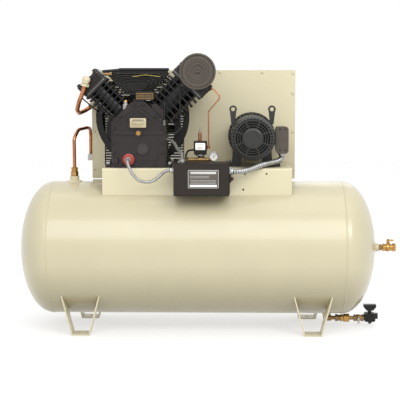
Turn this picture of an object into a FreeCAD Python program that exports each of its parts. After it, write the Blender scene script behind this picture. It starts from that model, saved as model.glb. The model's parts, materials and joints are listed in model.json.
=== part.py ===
import FreeCAD, Part
import math
import os
from FreeCAD import Vector

# Two-stage V-twin air compressor on a horizontal receiver. Millimetres.
# X runs along the tank, Y from front (-) to back (+), Z is up. Z = 0 is the floor,
# X = Y = 0 is the middle of the four foot bolts.

# Receiver and frame
TANK_R = 305
TANK_WALL = 5
TANK_Z = 371
SHELL_HALF = 667
HEAD_DEPTH = 150
FOOT_X = 522
FOOT_Y = 197
FOOT_HOLE_R = 8
LEG_PLATE = 6
DECK_Z = 750
DECK_HALF_X = 426
DECK_HALF_Y = 167
DECK_PLATE = 6
INLET_X = -571
DRAIN_X = 600
RISER = (18, -100)

# Pump
CRANK_X = -263
CRANK_Z = 906
BANK_ANGLE = 45
CASE_HALF = 122
CASE_SHOULDER = 170
CASE_TOP_HALF = 31
CASE_FRONT = -135
CASE_BACK = 110
CASE_WALL = 9
DECK_T = CASE_SHOULDER / math.sqrt(2)
CASE_BOLT_X = 138
CASE_BOLT_Y = (-118, 92)
THROW = 38
JOURNAL_R = 24.95
BEARING_BORE_R = 25
BEARING_R = 45
CRANKPIN_R = 19
WRIST_PIN_R = 11
WRIST_T = 165
ROD_Y = 14

# One bank of the V: side, centre along Y, bore, barrel, fin half width, fin levels, head levels
LOW = {"side": 1, "y": -14, "bore": 56, "barrel": 64, "fin": 88, "fin_plate": 7,
       "first_fin": 139.5, "fin_pitch": 26.6, "fins": 6, "top": 305, "head_top": 372,
       "head_half": 91, "piston_top": 218}
HIGH = {"side": -1, "y": 14, "bore": 32, "barrel": 44, "fin": 66, "fin_plate": 5,
        "first_fin": 137, "fin_pitch": 24.3, "fins": 6, "top": 284, "head_top": 344,
        "head_half": 63, "piston_top": 208}
BANKS = (LOW, HIGH)

# Air filter on the low-pressure head, and oil fittings on the crankcase cover
FILTER_X = 2
FILTER_Z = 1180.5
FILTER_R = 82
FILTER_BACK = -106
SIGHT_GLASS = (-244, 836)
OIL_SWITCH = (-308, 788)
COVER_FACE = CASE_FRONT - 15

# Motor and drive
MOTOR_X = 250
MOTOR_Z = 883.3
MOTOR_R = 100
MOTOR_FRAME = (-60, 95)
MOTOR_FEET_X = 108
MOTOR_FEET_Y = (-44, 84)
LUG_X = 88
LUG_Z = 1011
LUG_HOLE_R = 9
SHAFT_R = 19
FAN_COVER_FRONT = -170
FLYWHEEL_R = 178
FLYWHEEL_PITCH_R = 173
PULLEY_R = 70
PULLEY_PITCH_R = 65
WHEEL_FRONT = 182
WHEEL_BACK = 237
BELT_Y = (200, 219)
GROOVE_DEPTH = 15
GROOVE_TAN = math.tan(math.radians(19))
GROOVE_ROOT_HALF = 3.7

# Guard
PANEL_Y = (167.3, 169.3)
PANEL_X = (-507, 457)
PANEL_Z = (677, 1190)
HATCH_X = -266
HATCH_Z = 967
HATCH_R = 222
HATCH_SIDES = (-447, -69)
HATCH_FOOT_Z = 700
COVER_BACK = 262
SHEET = 2
COOLER_X = -484
COOLER_Y = 215
COOLER_Z = (775, 1028)

DISCHARGE_RUN = [(-511, -75, 1122), (-519, -74, 1092), (-540, -60, 1044), (-554, -20, 1006), (-552, 40, 990),
                 (-533, 104, 1000), (-516, 130, 1012), (-508, 136, 1018)]

# Controls
BOX_X = (-100, 145)
BOX_Y = (-300, -167)
BOX_Z = (636.5, 780)
BOX_SPLIT_Y = -200
GAUGE = Vector(75, -130, 801)
RELIEF_FOOT = Vector(11, -55, 812)
OUTLET_X = 882.5
MOTOR_CONDUIT_R = 13
OIL_CONDUIT_R = 7.2
CASE_CONDUIT_R = 7
SWITCH_CABLE_R = 4.2
SLIP = 0.1
MOTOR_ENTRY = (-230, 740)
OIL_ENTRY = (-230, 745)
CASE_ENTRY = (-64, -232)
RESET = (-262, 710)
SUPPLY_ENTRY = (-230, 668)
SUPPLY_R = 14
DRAIN_Z = 39
DRAIN_VALVE_X = 748

X_AXIS = Vector(1, 0, 0)
Y_AXIS = Vector(0, 1, 0)
Z_AXIS = Vector(0, 0, 1)
ORIGIN = Vector(0, 0, 0)


def box(x, y, z):
    """Block between two X, two Y and two Z values."""
    return Part.makeBox(x[1] - x[0], y[1] - y[0], z[1] - z[0], Vector(x[0], y[0], z[0]))


def rod(radius, start, end):
    """Round bar from one point to another."""
    run = Vector(*end) - Vector(*start)
    return Part.makeCylinder(radius, run.Length, Vector(*start), run)


def tube(outer, inner, start, end):
    """Round tube from one point to another."""
    return rod(outer, start, end).cut(rod(inner, start, end))


def disc_y(radius, x, z, front, back):
    """Round bar along Y."""
    return rod(radius, (x, front, z), (x, back, z))


def ring_y(outer, inner, x, z, front, back):
    """Round tube along Y."""
    return disc_y(outer, x, z, front, back).cut(disc_y(inner, x, z, front, back))


def prism(points, along):
    """Closed polygon pushed along a vector."""
    corners = [Vector(*point) for point in points]
    return Part.Face(Part.makePolygon(corners + corners[:1])).extrude(Vector(*along))


def prism_y(points, front, back):
    """Outline of (x, z) points pushed along Y."""
    return prism([(x, front, z) for x, z in points], (0, back - front, 0))


def turned(points, centre, axis):
    """Solid of revolution of an outline of (radius, height) points about an axis."""
    corners = [Vector(radius, 0, height) for radius, height in points]
    face = Part.Face(Part.makePolygon(corners + corners[:1]))
    return placed(face.revolve(ORIGIN, Z_AXIS, 360), centre, axis)


def placed(shape, point, direction):
    """Move a shape built upright at the origin to a point, along a direction."""
    shape.Placement = FreeCAD.Placement(Vector(*point), FreeCAD.Rotation(Z_AXIS, Vector(*direction)))
    return shape


def hex_bar(across, point, direction, length, hole=0):
    """Hexagonal bar, with a round hole when one is given."""
    corner = across / math.sqrt(3)
    angles = [math.radians(60 * index) for index in range(6)]
    bar = prism([(corner * math.cos(a), corner * math.sin(a), 0) for a in angles], (0, 0, length))
    if hole:
        bar = bar.cut(Part.makeCylinder(hole, length))
    return placed(bar, point, direction)


def hex_bolt(point, direction, across=19, head=11, shank=5.8, grip=24):
    """Hexagon bolt whose head stands on a point, with a washer face and a shank behind it."""
    corner = across / math.sqrt(3)
    angles = [math.radians(60 * index) for index in range(6)]
    cap = prism([(corner * math.cos(a), corner * math.sin(a), 0) for a in angles], (0, 0, head))
    crown = Part.makeCone(corner * 1.25, corner * 0.86, head)
    body = cap.common(crown).fuse(Part.makeCylinder(shank, grip, Vector(0, 0, -grip)))
    return placed(body.fuse(Part.makeCylinder(corner * 1.05, 1.6)), point, direction)


def joined(shapes):
    """One solid from touching shapes."""
    return shapes[0].multiFuse(shapes[1:]).removeSplitter()


def rounded_box(x, y, z, radius, axis):
    """Block with its four edges along one axis rounded."""
    block = box(x, y, z)
    edges = [edge for edge in block.Edges if abs(edge.tangentAt(edge.FirstParameter).dot(axis)) > 0.99]
    return block.makeFillet(radius, edges)


def pipe_path(points, bend):
    """Straight runs joined by tangent arcs, as large as the runs allow up to the bend radius."""
    corners = [Vector(*point) for point in points]
    edges = []
    start = corners[0]
    for before, corner, after in zip(corners, corners[1:], corners[2:]):
        shorter = min((before - corner).Length, (after - corner).Length)
        back = (before - corner).normalize()
        ahead = (after - corner).normalize()
        half = back.getAngle(ahead) / 2
        radius = min(bend, 0.45 * shorter * math.tan(half))
        reach = radius / math.tan(half)
        middle = (back + ahead).normalize() * (radius / math.sin(half) - radius)
        first = corner + back * reach
        last = corner + ahead * reach
        edges.append(Part.LineSegment(start, first).toShape())
        edges.append(Part.Arc(first, corner + middle, last).toShape())
        start = last
    edges.append(Part.LineSegment(start, corners[-1]).toShape())
    return Part.Wire(edges)


def pipe(points, radius, bend, bore=0):
    """Round pipe along straight runs and tangent arcs, hollow when a bore is given."""
    path = pipe_path(points, bend)
    start = Vector(*points[0])
    along = Vector(*points[1]) - start
    outer = Part.Wire(Part.Circle(start, along, radius).toShape())
    solid = path.makePipeShell([outer], True, False)
    section = math.pi * radius ** 2
    if abs(solid.Volume - section * path.Length) > 0.01 * section * path.Length:
        print("pipe volume differs from its section times its length", points[0])
    if bore:
        inner = Part.Wire(Part.Circle(start, along, bore).toShape())
        solid = solid.cut(path.makePipeShell([inner], True, False))
    return solid


def write(node, shapes):
    """Write one node's STEP file, after checking that its solids are closed and valid."""
    solids = [solid for shape in shapes for solid in shape.Solids]
    for solid in solids:
        if not solid.isValid() or solid.Volume <= 0:
            print("invalid solid in", node)
    Part.makeCompound(solids).exportStep("parts/" + node + ".step")
    print(node, len(solids))


def tank_cylinder(radius):
    """Round body of the tank, long enough to trim anything that seats on it."""
    return rod(radius, (-SHELL_HALF, 0, TANK_Z), (SHELL_HALF, 0, TANK_Z))


def tank_shell():
    """Rolled shell with a raised girth weld at each seam and its threaded ports cut through."""
    shell = tank_cylinder(TANK_R)
    for seam in (-SHELL_HALF + 3, SHELL_HALF - 3):
        bead = Part.makeTorus(TANK_R - 0.5, 2.5, Vector(seam, 0, TANK_Z), X_AXIS)
        shell = shell.fuse(bead)
    shell = shell.cut(tank_cylinder(TANK_R - TANK_WALL))
    top = TANK_Z + TANK_R
    ports = [rod(10, (INLET_X, 0, top - 20), (INLET_X, 0, top + 20)),
             rod(10, (DRAIN_X, 0, TANK_Z - TANK_R - 20), (DRAIN_X, 0, TANK_Z - TANK_R + 20)),
             rod(7, (RISER[0], RISER[1], top - 60), (RISER[0], RISER[1], top + 20))]
    for port in ports:
        shell = shell.cut(port)
    return shell


def tank_head(bore):
    """Pressed 2:1 elliptical head closing the right end of the shell, with a round hole at its pole."""
    arcs = []
    for inset in (0, TANK_WALL):
        ellipse = Part.Ellipse(ORIGIN, TANK_R - inset, HEAD_DEPTH - inset)
        arcs.append(Part.ArcOfEllipse(ellipse, 0, math.acos(bore / (TANK_R - inset))).toShape())
    outer, inner = arcs
    rim = Part.LineSegment(outer.Vertexes[0].Point, inner.Vertexes[0].Point).toShape()
    pole = Part.LineSegment(outer.Vertexes[1].Point, inner.Vertexes[1].Point).toShape()
    head = Part.Face(Part.Wire([outer, pole, inner, rim])).revolve(ORIGIN, Y_AXIS, 360)
    head.rotate(ORIGIN, Z_AXIS, -90)
    head.translate(Vector(SHELL_HALF, 0, TANK_Z))
    return head


def tank_heads():
    """Two pressed elliptical heads: the right one holed for the air outlet, the left one plugged at its pole."""
    left = tank_head(10).mirror(ORIGIN, X_AXIS)
    tip = -SHELL_HALF - HEAD_DEPTH
    plug = rod(10, (tip + TANK_WALL, 0, TANK_Z), (tip + 0.08, 0, TANK_Z))
    return [tank_head(10), left.fuse(plug)]


def tank_couplings():
    """Welded threaded couplings: inlet, riser, drain and air outlet."""
    top = TANK_Z + TANK_R
    inlet = turned([(10, -12), (40, -12), (40, -2), (36, 2), (24, 8), (21, 10), (21, 25), (10, 25)],
                   (INLET_X, 0, top), Z_AXIS)
    riser_top = TANK_Z + math.sqrt(TANK_R ** 2 - RISER[1] ** 2)
    riser = turned([(7, -16), (18, -16), (18, 22), (7, 22)], (RISER[0], RISER[1], riser_top), Z_AXIS)
    drain = turned([(10, -10), (28, -10), (28, 0), (20, 6), (20, 11.8), (10, 11.8)],
                   (DRAIN_X, 0, TANK_Z - TANK_R), (0, 0, -1))
    outlet = turned([(10, 0), (36, -1), (36, 1), (24, 7), (19, 9), (19, 20), (10, 20)],
                    (SHELL_HALF + HEAD_DEPTH, 0, TANK_Z), X_AXIS)
    on_shell = [shape.cut(tank_cylinder(TANK_R)) for shape in (inlet, riser, drain)]
    return on_shell + [outlet.cut(tank_head(10))]


def tank_legs():
    """Four bent strap legs, each a U whose sides spread up to the tank, with a round foot hole."""
    foot_half = 40.5
    top_half = 89.3
    top_z = 185
    spread = (top_half - foot_half) / top_z
    reach = 200
    inner_foot = foot_half - LEG_PLATE * (math.sqrt(1 + spread ** 2) - spread)
    outline = [(foot_half + spread * reach, reach), (foot_half, 0), (-foot_half, 0),
               (-foot_half - spread * reach, reach)]
    side = LEG_PLATE * math.sqrt(1 + spread ** 2)
    inside = [(-foot_half - spread * reach + side, reach), (-inner_foot, LEG_PLATE),
              (inner_foot, LEG_PLATE), (foot_half + spread * reach - side, reach)]
    strap = prism_y(outline + inside, FOOT_Y - 41, FOOT_Y + 41)
    strap = strap.cut(rod(FOOT_HOLE_R, (0, FOOT_Y, -1), (0, FOOT_Y, LEG_PLATE + 1)))
    legs = []
    for x in (-FOOT_X, FOOT_X):
        for turn in (0, 180):
            leg = strap.copy()
            leg.rotate(ORIGIN, Z_AXIS, turn)
            leg.translate(Vector(x, 0, 0))
            legs.append(leg.cut(tank_cylinder(TANK_R)))
    return legs


def base_platform():
    """Folded deck plate over the tank: a flat top and two side skirts that seat on the shell."""
    outer = rounded_box((-DECK_HALF_X, DECK_HALF_X), (-DECK_HALF_Y, DECK_HALF_Y), (560, DECK_Z), 10, X_AXIS)
    inner_half = DECK_HALF_Y - DECK_PLATE
    inner = rounded_box((-DECK_HALF_X, DECK_HALF_X), (-inner_half, inner_half),
                        (500, DECK_Z - DECK_PLATE), 4, X_AXIS)
    deck = outer.cut(inner).cut(tank_cylinder(TANK_R))
    deck = deck.cut(rod(21, (RISER[0], RISER[1], DECK_Z - 20), (RISER[0], RISER[1], DECK_Z + 5)))
    for x, z in ((215, 724), (312, 725), (208, 654)):
        deck = deck.cut(rod(4.5, (x, -DECK_HALF_Y - 5, z), (x, -DECK_HALF_Y + 20, z)))
    for point in crankcase_bolt_points() + motor_bolt_points():
        deck = deck.cut(rod(6.5, (point[0], point[1], DECK_Z - 20), (point[0], point[1], DECK_Z + 5)))
    return largest(deck)


def largest(shape):
    """The biggest solid of a cut shape."""
    return max(shape.Solids, key=lambda solid: solid.Volume)


def crankcase_bolt_points():
    """Foot bolt places of the crankcase, as (x, y)."""
    return [(CRANK_X + dx, y) for dx in (-CASE_BOLT_X, CASE_BOLT_X) for y in CASE_BOLT_Y]


def motor_bolt_points():
    """Foot bolt places of the motor, as (x, y)."""
    return [(MOTOR_X + dx, y) for dx in (-MOTOR_FEET_X, MOTOR_FEET_X) for y in MOTOR_FEET_Y]


def hex_bolts():
    """Loose hexagon bolts: crankcase feet, front cover, cylinder bases, head covers and motor feet."""
    bolts = []
    for x, y in crankcase_bolt_points():
        bolts.append(hex_bolt((x, y, DECK_Z + 14), Z_AXIS))
    for x, y in motor_bolt_points():
        bolts.append(hex_bolt((x, y, DECK_Z + 14), Z_AXIS, across=16, head=9, shank=4.8))
    for dx, dz in cover_bolt_points():
        point = (CRANK_X + dx, CASE_FRONT - 15, CRANK_Z + dz)
        bolts.append(hex_bolt(point, (0, -1, 0), across=13, head=7, shank=3.9, grip=20))
    for bank in BANKS:
        for u, y in head_bolt_points(bank):
            across = 17 if bank is LOW else 14
            bolt = hex_bolt((u, y, bank["head_top"]), Z_AXIS, across=across, head=9, shank=4.8, grip=26)
            bolts.append(on_bank(bolt, bank))
    return bolts


def cover_bolt_points():
    """Front cover bolt places about the crank axis, as (dx, dz)."""
    inset = 11
    side = CASE_HALF - inset
    low = DECK_Z - CRANK_Z + inset + 3
    shoulder = CASE_SHOULDER - CASE_HALF - 6
    top = CASE_SHOULDER - CASE_TOP_HALF - inset
    half = [(side, low + 54), (side, -44), (side, shoulder - 20), (82, 76), (CASE_TOP_HALF - 8, top), (75, low)]
    return half + [(-dx, dz) for dx, dz in half]


def head_bolt_points(bank):
    """Head bolt places in a bank's own frame, as (across the bank, y)."""
    inset = bank["head_half"] - 13
    steps = (-1, 0, 1)
    places = [(i * inset, bank["y"] + j * inset) for i in steps for j in steps]
    return [place for place in places if place != (0, bank["y"])]


def on_bank(shape, bank):
    """Lean a shape built upright on the crank axis over to its side of the V."""
    shape.rotate(ORIGIN, Y_AXIS, BANK_ANGLE * bank["side"])
    shape.translate(Vector(CRANK_X, 0, CRANK_Z))
    return shape


def case_outline(inset):
    """Crankcase outline in (x, z), shrunk evenly by an inset."""
    shoulder = CASE_SHOULDER - inset * math.sqrt(2)
    half = CASE_HALF - inset
    top = CASE_SHOULDER - CASE_TOP_HALF - inset
    base = DECK_Z - CRANK_Z + inset
    right = [(half, base), (half, shoulder - half), (shoulder - top, top)]
    left = [(-dx, dz) for dx, dz in reversed(right)]
    return [(CRANK_X + dx, CRANK_Z + dz) for dx, dz in right + left]


def crankcase():
    """Cast case, open at the front, with a foot flange, two cylinder decks and a rear bearing boss."""
    case = prism_y(case_outline(0), CASE_FRONT, CASE_BACK)
    case = case.fuse(disc_y(60, CRANK_X, CRANK_Z, CASE_BACK - 12, 135))
    case = case.cut(prism_y(case_outline(CASE_WALL), CASE_FRONT - 1, CASE_BACK - 12))
    foot = rounded_box((CRANK_X - 152, CRANK_X + 152), (CASE_FRONT, CASE_BACK), (DECK_Z, DECK_Z + 14),
                       10, Z_AXIS)
    foot = foot.cut(box((CRANK_X - 113, CRANK_X + 113), (CASE_FRONT + 10, CASE_BACK - 12),
                        (DECK_Z + 9, DECK_Z + 20)))
    case = case.fuse(foot)
    for side in (-1, 1):
        edge = CRANK_X + side * (CASE_HALF - 2)
        tip = CRANK_X + side * (CASE_HALF + 24)
        web = [(edge, DECK_Z + 12), (tip, DECK_Z + 12), (edge, DECK_Z + 70)]
        case = case.fuse(prism_y(web, -10, -2))
    case = case.cut(disc_y(BEARING_R, CRANK_X, CRANK_Z, CASE_BACK - 20, 129))
    case = case.cut(disc_y(BEARING_BORE_R + 4, CRANK_X, CRANK_Z, CASE_BACK, 140))
    for bank in BANKS:
        opening = rod(bank["barrel"] + 0.3, (0, bank["y"], DECK_T - 14.3), (0, bank["y"], DECK_T + 5))
        case = case.cut(on_bank(opening, bank))
    for x, y in crankcase_bolt_points():
        case = case.cut(rod(6.2, (x, y, DECK_Z - 5), (x, y, DECK_Z + 20)))
    for dx, dz in cover_bolt_points():
        x, z = CRANK_X + dx, CRANK_Z + dz
        case = case.cut(disc_y(4, x, z, CASE_FRONT - 1, CASE_FRONT + 6))
    return largest(case)


def crankcase_cover():
    """Front cover plate with gable ribs, a cross rib, a small hub boss and a raised pad for a blank nameplate."""
    cover = prism_y(case_outline(0), COVER_FACE, CASE_FRONT)
    inner = disc_y(60, CRANK_X, CRANK_Z, CASE_FRONT, CASE_FRONT + 22)
    raised = [box((CRANK_X - 116, CRANK_X + 118), (COVER_FACE - 5, COVER_FACE + 1), (CRANK_Z - 8, CRANK_Z + 8)),
              disc_y(19, CRANK_X, CRANK_Z, COVER_FACE - 9, COVER_FACE + 1),
              rounded_box((CRANK_X - 44, CRANK_X + 42), (COVER_FACE - 11, COVER_FACE + 1), (928, 976), 4, Y_AXIS),
              rounded_box((CRANK_X - 88, CRANK_X + 88), (COVER_FACE - 2.5, COVER_FACE + 1), (782, 888), 8, Y_AXIS),
              disc_y(30, *SIGHT_GLASS, COVER_FACE - 5, COVER_FACE + 5),
              disc_y(30, *OIL_SWITCH, COVER_FACE - 5, COVER_FACE + 5)]
    for half, foot, peak in ((106, 53, 130), (84, 47, 108)):
        raised.append(gable_rib(half, foot, peak))
    cover = joined([cover, inner] + raised)
    cover = cover.cut(disc_y(BEARING_R, CRANK_X, CRANK_Z, CASE_FRONT - 8, CASE_FRONT + 23))
    cover = cover.cut(disc_y(8, CRANK_X, CRANK_Z, COVER_FACE - 20, CASE_FRONT))
    cover = cover.cut(disc_y(20, *SIGHT_GLASS, COVER_FACE - 15, CASE_FRONT + 20))
    cover = cover.cut(disc_y(14, *OIL_SWITCH, COVER_FACE - 15, CASE_FRONT + 20))
    for dx, dz in cover_bolt_points():
        x, z = CRANK_X + dx, CRANK_Z + dz
        cover = cover.cut(disc_y(4.2, x, z, COVER_FACE - 20, CASE_FRONT + 1))
        cover = cover.cut(disc_y(9.5, x, z, COVER_FACE - 20, COVER_FACE))
    return largest(cover)


def gable_rib(half, foot, peak):
    """Rib of the front cover that rises from both sides to a peak, given from the crank axis."""
    wide = 8
    corners = [(half, foot), (0, peak), (-half, foot), (-half, foot - wide), (0, peak - wide), (half, foot - wide)]
    return prism_y([(CRANK_X + dx, CRANK_Z + dz) for dx, dz in corners], COVER_FACE - 4.5, COVER_FACE + 1)


def crankcase_plugs():
    """Hub plug, drain plug, filler plug and the sloping breather neck of the case."""
    hub_face = COVER_FACE - 9
    hub = turned([(0, -8), (7.9, -8), (7.9, 0), (10, 0), (10, 3), (0, 3)], (CRANK_X, hub_face, CRANK_Z), (0, -1, 0))
    hub = hub.fuse(hex_bar(12, (CRANK_X, hub_face - 3, CRANK_Z), (0, -1, 0), 5))
    low = turned([(0, 0), (15, 0), (15, 10), (12, 14), (0, 14)],
                 (CRANK_X - 103, COVER_FACE, DECK_Z + 31), (0, -1, 0))
    foot = (CRANK_X - 59, CASE_FRONT + 22, CRANK_Z + CASE_SHOULDER - 64)
    top = turned([(0, 0), (14, 0), (14, 22), (10, 25), (10, 34), (7, 41), (0, 43)], foot, Z_AXIS)
    neck_points = [(59, CASE_SHOULDER - 59), (59, 128), (78, 134), (113, 99), (113, CASE_SHOULDER - 113)]
    neck = prism_y([(CRANK_X + dx, CRANK_Z + dz) for dx, dz in neck_points], CASE_FRONT, CASE_FRONT + 29)
    return [hub, low, top.cut(prism_y(case_outline(0), CASE_FRONT, CASE_BACK)), neck]


def oil_sight_glass():
    """Round oil window pressed into its boss."""
    x, z = SIGHT_GLASS
    return turned([(0, -12), (19.9, -12), (19.9, 0), (25, 0), (25, 5), (19, 5), (17, 2), (0, 2)],
                  (x, COVER_FACE - 5, z), (0, -1, 0))


def oil_level_switch():
    """Oil level switch: threaded spigot, hexagon, red collar and a cable nipple facing front."""
    axis = (0, -1, 0)
    x, z = OIL_SWITCH
    face = COVER_FACE - 5
    body = turned([(0, -30), (13.9, -30), (13.9, 0), (26, 0), (26, 7), (21, 9), (21, 18), (0, 18)],
                  (x, face, z), axis)
    nipple = tube(10.5, OIL_CONDUIT_R + SLIP, (x, face - 30, z), (x, face - 37, z))
    return [body, hex_bar(24, (x, face - 18, z), axis, 12), nipple]


def crankcase_breather():
    """Ribbed breather box standing on the flat top of the case."""
    front = CASE_FRONT + 1
    base_z = CRANK_Z + CASE_SHOULDER - CASE_TOP_HALF
    foot = box((CRANK_X - 24, CRANK_X + 24), (front, front + 28), (base_z, base_z + 12))
    block = rounded_box((-270, -200), (front + 2, front + 26), (base_z + 9, 1092), 4, Y_AXIS)
    ribs = [box((-275, -195), (front, front + 28), (z, z + 3)) for z in (1058, 1066, 1074, 1082)]
    return joined([foot, block] + ribs)


def breather_tubes():
    """Two thin steel tubes at the right of the case, one with a compression fitting on the cover."""
    x, y = -146, COVER_FACE - 8
    riser = pipe([(x, y, 947), (x, y, 1040), (x + 5, -128, 1056), (x + 5, -103, 1056)], 3.5, 16)
    fitting = joined([hex_bar(13, (x, y, 940), Z_AXIS, 24), rod(4, (x, y, 945), (x, COVER_FACE, 945))])
    loop = pipe([(-77, -128, 1118), (-77, -128, 925), (-92, -140, 906), (-128, -140, 906)], 3.5, 18)
    return [riser, fitting.cut(rod(3.5, (x, y, 947), (x, y, 980))), loop]


def crank_web(start, end):
    """Crank cheek: a counterweight sector below the shaft and a lug round the pin above it."""
    disc = disc_y(62, CRANK_X, CRANK_Z, start, end)
    trim = box((CRANK_X - 80, CRANK_X + 80), (start - 1, end + 1), (CRANK_Z - 4, CRANK_Z + 80))
    lug = disc_y(26, CRANK_X, CRANK_Z + THROW - 4, start, end).common(disc)
    neck = box((CRANK_X - 27, CRANK_X + 27), (start, end), (CRANK_Z - 10, CRANK_Z + THROW))
    return disc.cut(trim).fuse(lug).fuse(neck.common(disc))


def crankshaft():
    """One-throw crankshaft with two journals, two counterweights and a keyed tail for the flywheel."""
    pin = disc_y(CRANKPIN_R, CRANK_X, CRANK_Z + THROW, -30, 30)
    front = disc_y(JOURNAL_R, CRANK_X, CRANK_Z, CASE_FRONT - 6, -44)
    tail = disc_y(JOURNAL_R, CRANK_X, CRANK_Z, 44, 246)
    return joined([front, crank_web(-44, -30), pin, crank_web(30, 44), tail])


def shaft_bearings():
    """Roller bearings of the crankshaft and of the motor shaft."""
    rings = []
    for x, z, bore, outer, front, back in (
            (CRANK_X, CRANK_Z, BEARING_BORE_R, BEARING_R - 0.02, CASE_FRONT - 7.5, CASE_FRONT + 21.5),
            (CRANK_X, CRANK_Z, BEARING_BORE_R, BEARING_R - 0.02, CASE_BACK - 8, CASE_BACK + 18),
            (MOTOR_X, MOTOR_Z, SHAFT_R + 0.05, 34.98, -79, -62),
            (MOTOR_X, MOTOR_Z, SHAFT_R + 0.05, 34.98, 101, 121)):
        ring = ring_y(outer, bore, x, z, front, back)
        middle = (outer + bore) / 2
        for end in (front - 1, back - 2):
            ring = ring.cut(ring_y(middle + 4, middle - 4, x, z, end, end + 3))
        rings.append(ring)
    return rings


def connecting_rods():
    """Two rods side by side, each a big-end ring round the crank pin's path and a wrist-pin eye."""
    rods = []
    for bank in BANKS:
        y = ROD_Y * bank["side"] * -1
        big = ring_y(70, 60, 0, 0, y - 11, y + 11)
        shank = box((-9, 9), (y - 8, y + 8), (66, WRIST_T - 14))
        eye = disc_y(20, 0, WRIST_T, y - 11, y + 11)
        one = joined([big, shank, eye]).cut(disc_y(WRIST_PIN_R + 0.05, 0, WRIST_T, y - 20, y + 20))
        rods.append(on_bank(one, bank))
    return rods


def pistons():
    """Two trunk pistons with ring grooves, hollow from below, bored for their wrist pins."""
    made = []
    for bank in BANKS:
        radius = bank["bore"] - 0.3
        y = bank["y"]
        top = bank["piston_top"]
        skirt = WRIST_T - 16
        groove = radius - 3
        points = [(0, top), (radius, top), (radius, top - 6), (groove, top - 6), (groove, top - 9),
                  (radius, top - 9), (radius, top - 15), (groove, top - 15), (groove, top - 18),
                  (radius, top - 18), (radius, skirt), (radius - 5, skirt), (radius - 5, top - 21),
                  (0, top - 21)]
        piston = turned(points, (0, y, 0), Z_AXIS)
        half = radius - 3
        bosses = [disc_y(17, 0, WRIST_T, y - half, y - 13), disc_y(17, 0, WRIST_T, y + 13, y + half)]
        outside = rod(radius - 1, (0, y, skirt), (0, y, top - 20))
        for boss in bosses:
            piston = piston.fuse(boss.common(outside))
        piston = piston.cut(disc_y(WRIST_PIN_R, 0, WRIST_T, y - 80, y + 80))
        made.append(on_bank(piston, bank))
    return made


def piston_rings():
    """Two compression rings in each piston's grooves."""
    rings = []
    for bank in BANKS:
        for drop in (8.8, 17.8):
            level = bank["piston_top"] - drop
            ring = tube(bank["bore"] - 0.05, bank["bore"] - 3.2, (0, bank["y"], level),
                        (0, bank["y"], level + 2.6))
            gap = box((-1, 1), (bank["y"], bank["y"] + 80), (level - 1, level + 5))
            rings.append(on_bank(ring.cut(gap), bank))
    return rings


def wrist_pins():
    """Hollow wrist pins of the two pistons."""
    pins = []
    for bank in BANKS:
        half = bank["bore"] - 5
        pins.append(on_bank(ring_y(WRIST_PIN_R, 6, 0, WRIST_T, bank["y"] - half, bank["y"] + half), bank))
    return pins


def cylinder(bank):
    """Finned cylinder: base flange, bored barrel, square cooling fins and a top flange."""
    y = bank["y"]
    half = bank["fin"]
    barrel = rod(bank["barrel"], (0, y, DECK_T - 14), (0, y, bank["top"]))
    base = rounded_box((-bank["barrel"] - 2, bank["barrel"] + 2), (y - bank["barrel"] - 10, y + bank["barrel"] + 10),
                       (DECK_T, DECK_T + 12), 14, Z_AXIS)
    flange = rounded_box((-half, half), (y - half, y + half), (bank["top"] - 9, bank["top"]), 12, Z_AXIS)
    parts = [barrel, base, flange]
    for index in range(bank["fins"]):
        level = bank["first_fin"] + index * bank["fin_pitch"]
        fin = rounded_box((-half, half), (y - half, y + half), (level, level + bank["fin_plate"]), 16, Z_AXIS)
        parts.append(fin)
    for u in (-0.72 * half, 0, 0.72 * half):
        for side in (-1, 1):
            face = y + side * (half - 7)
            rib = box((u - 3, u + 3), sorted((face, face - side * (half - bank["barrel"] + 12))),
                      (bank["first_fin"], bank["top"] - 4))
            parts.append(rib)
    bored = joined(parts).cut(rod(bank["bore"], (0, y, 0), (0, y, bank["top"] + 5)))
    return on_bank(bored, bank)


def valve_plates():
    """Valve plates between cylinders and heads, with inlet and discharge ports."""
    plates = []
    for bank in BANKS:
        y = bank["y"]
        half = bank["head_half"] - 2
        top = bank["top"]
        plate = rounded_box((-half, half), (y - half, y + half), (top, top + 7), 14, Z_AXIS)
        for side in (-1, 1):
            u = side * bank["bore"] * 0.5
            for dy in (-0.3, 0.3):
                hole = rod(bank["bore"] * 0.16, (u, y + dy * bank["bore"], top - 1),
                           (u, y + dy * bank["bore"], top + 10))
                plate = plate.cut(hole)
        plates.append(on_bank(plate, bank))
    return plates


def head(bank):
    """Cylinder head: hollow box with two chambers, side fins and bolt pads on top."""
    y = bank["y"]
    half = bank["head_half"]
    low = bank["top"] + 7
    top = bank["head_top"]
    block = rounded_box((-half, half), (y - half, y + half), (low, top - 8), 14, Z_AXIS)
    crown = rounded_box((-half + 7, half - 7), (y - half + 7, y + half - 7), (low, top - 3), 12, Z_AXIS)
    parts = [block, crown]
    for u, v in head_bolt_points(bank):
        parts.append(rod(12, (u, v, low), (u, v, top)))
    for step in range(-3, 4):
        u = step * half * 0.25
        rib = box((u - 2.5, u + 2.5), (y - half + 26, y + half - 26), (top - 5, top))
        parts.append(rib)
    shape = joined(parts)
    wall = 7
    for side in (-1, 1):
        u = sorted((side * wall / 2, side * (half - 26)))
        shape = shape.cut(box(u, (y - half + 26, y + half - 26), (low - 1, top - 16)))
    for level in (low + 10, low + 20, low + 30):
        if level < top - 16:
            groove = box((-half - 5, half + 5), (y - half - 5, y + half + 5), (level, level + 4))
            core = box((-half + 5, half - 5), (y - half + 5, y + half - 5), (level - 1, level + 5))
            shape = shape.cut(groove.cut(core))
    for u, v in head_bolt_points(bank):
        shape = shape.cut(rod(5, (u, v, low - 1), (u, v, top + 1)))
    return on_bank(largest(shape), bank)


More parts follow.
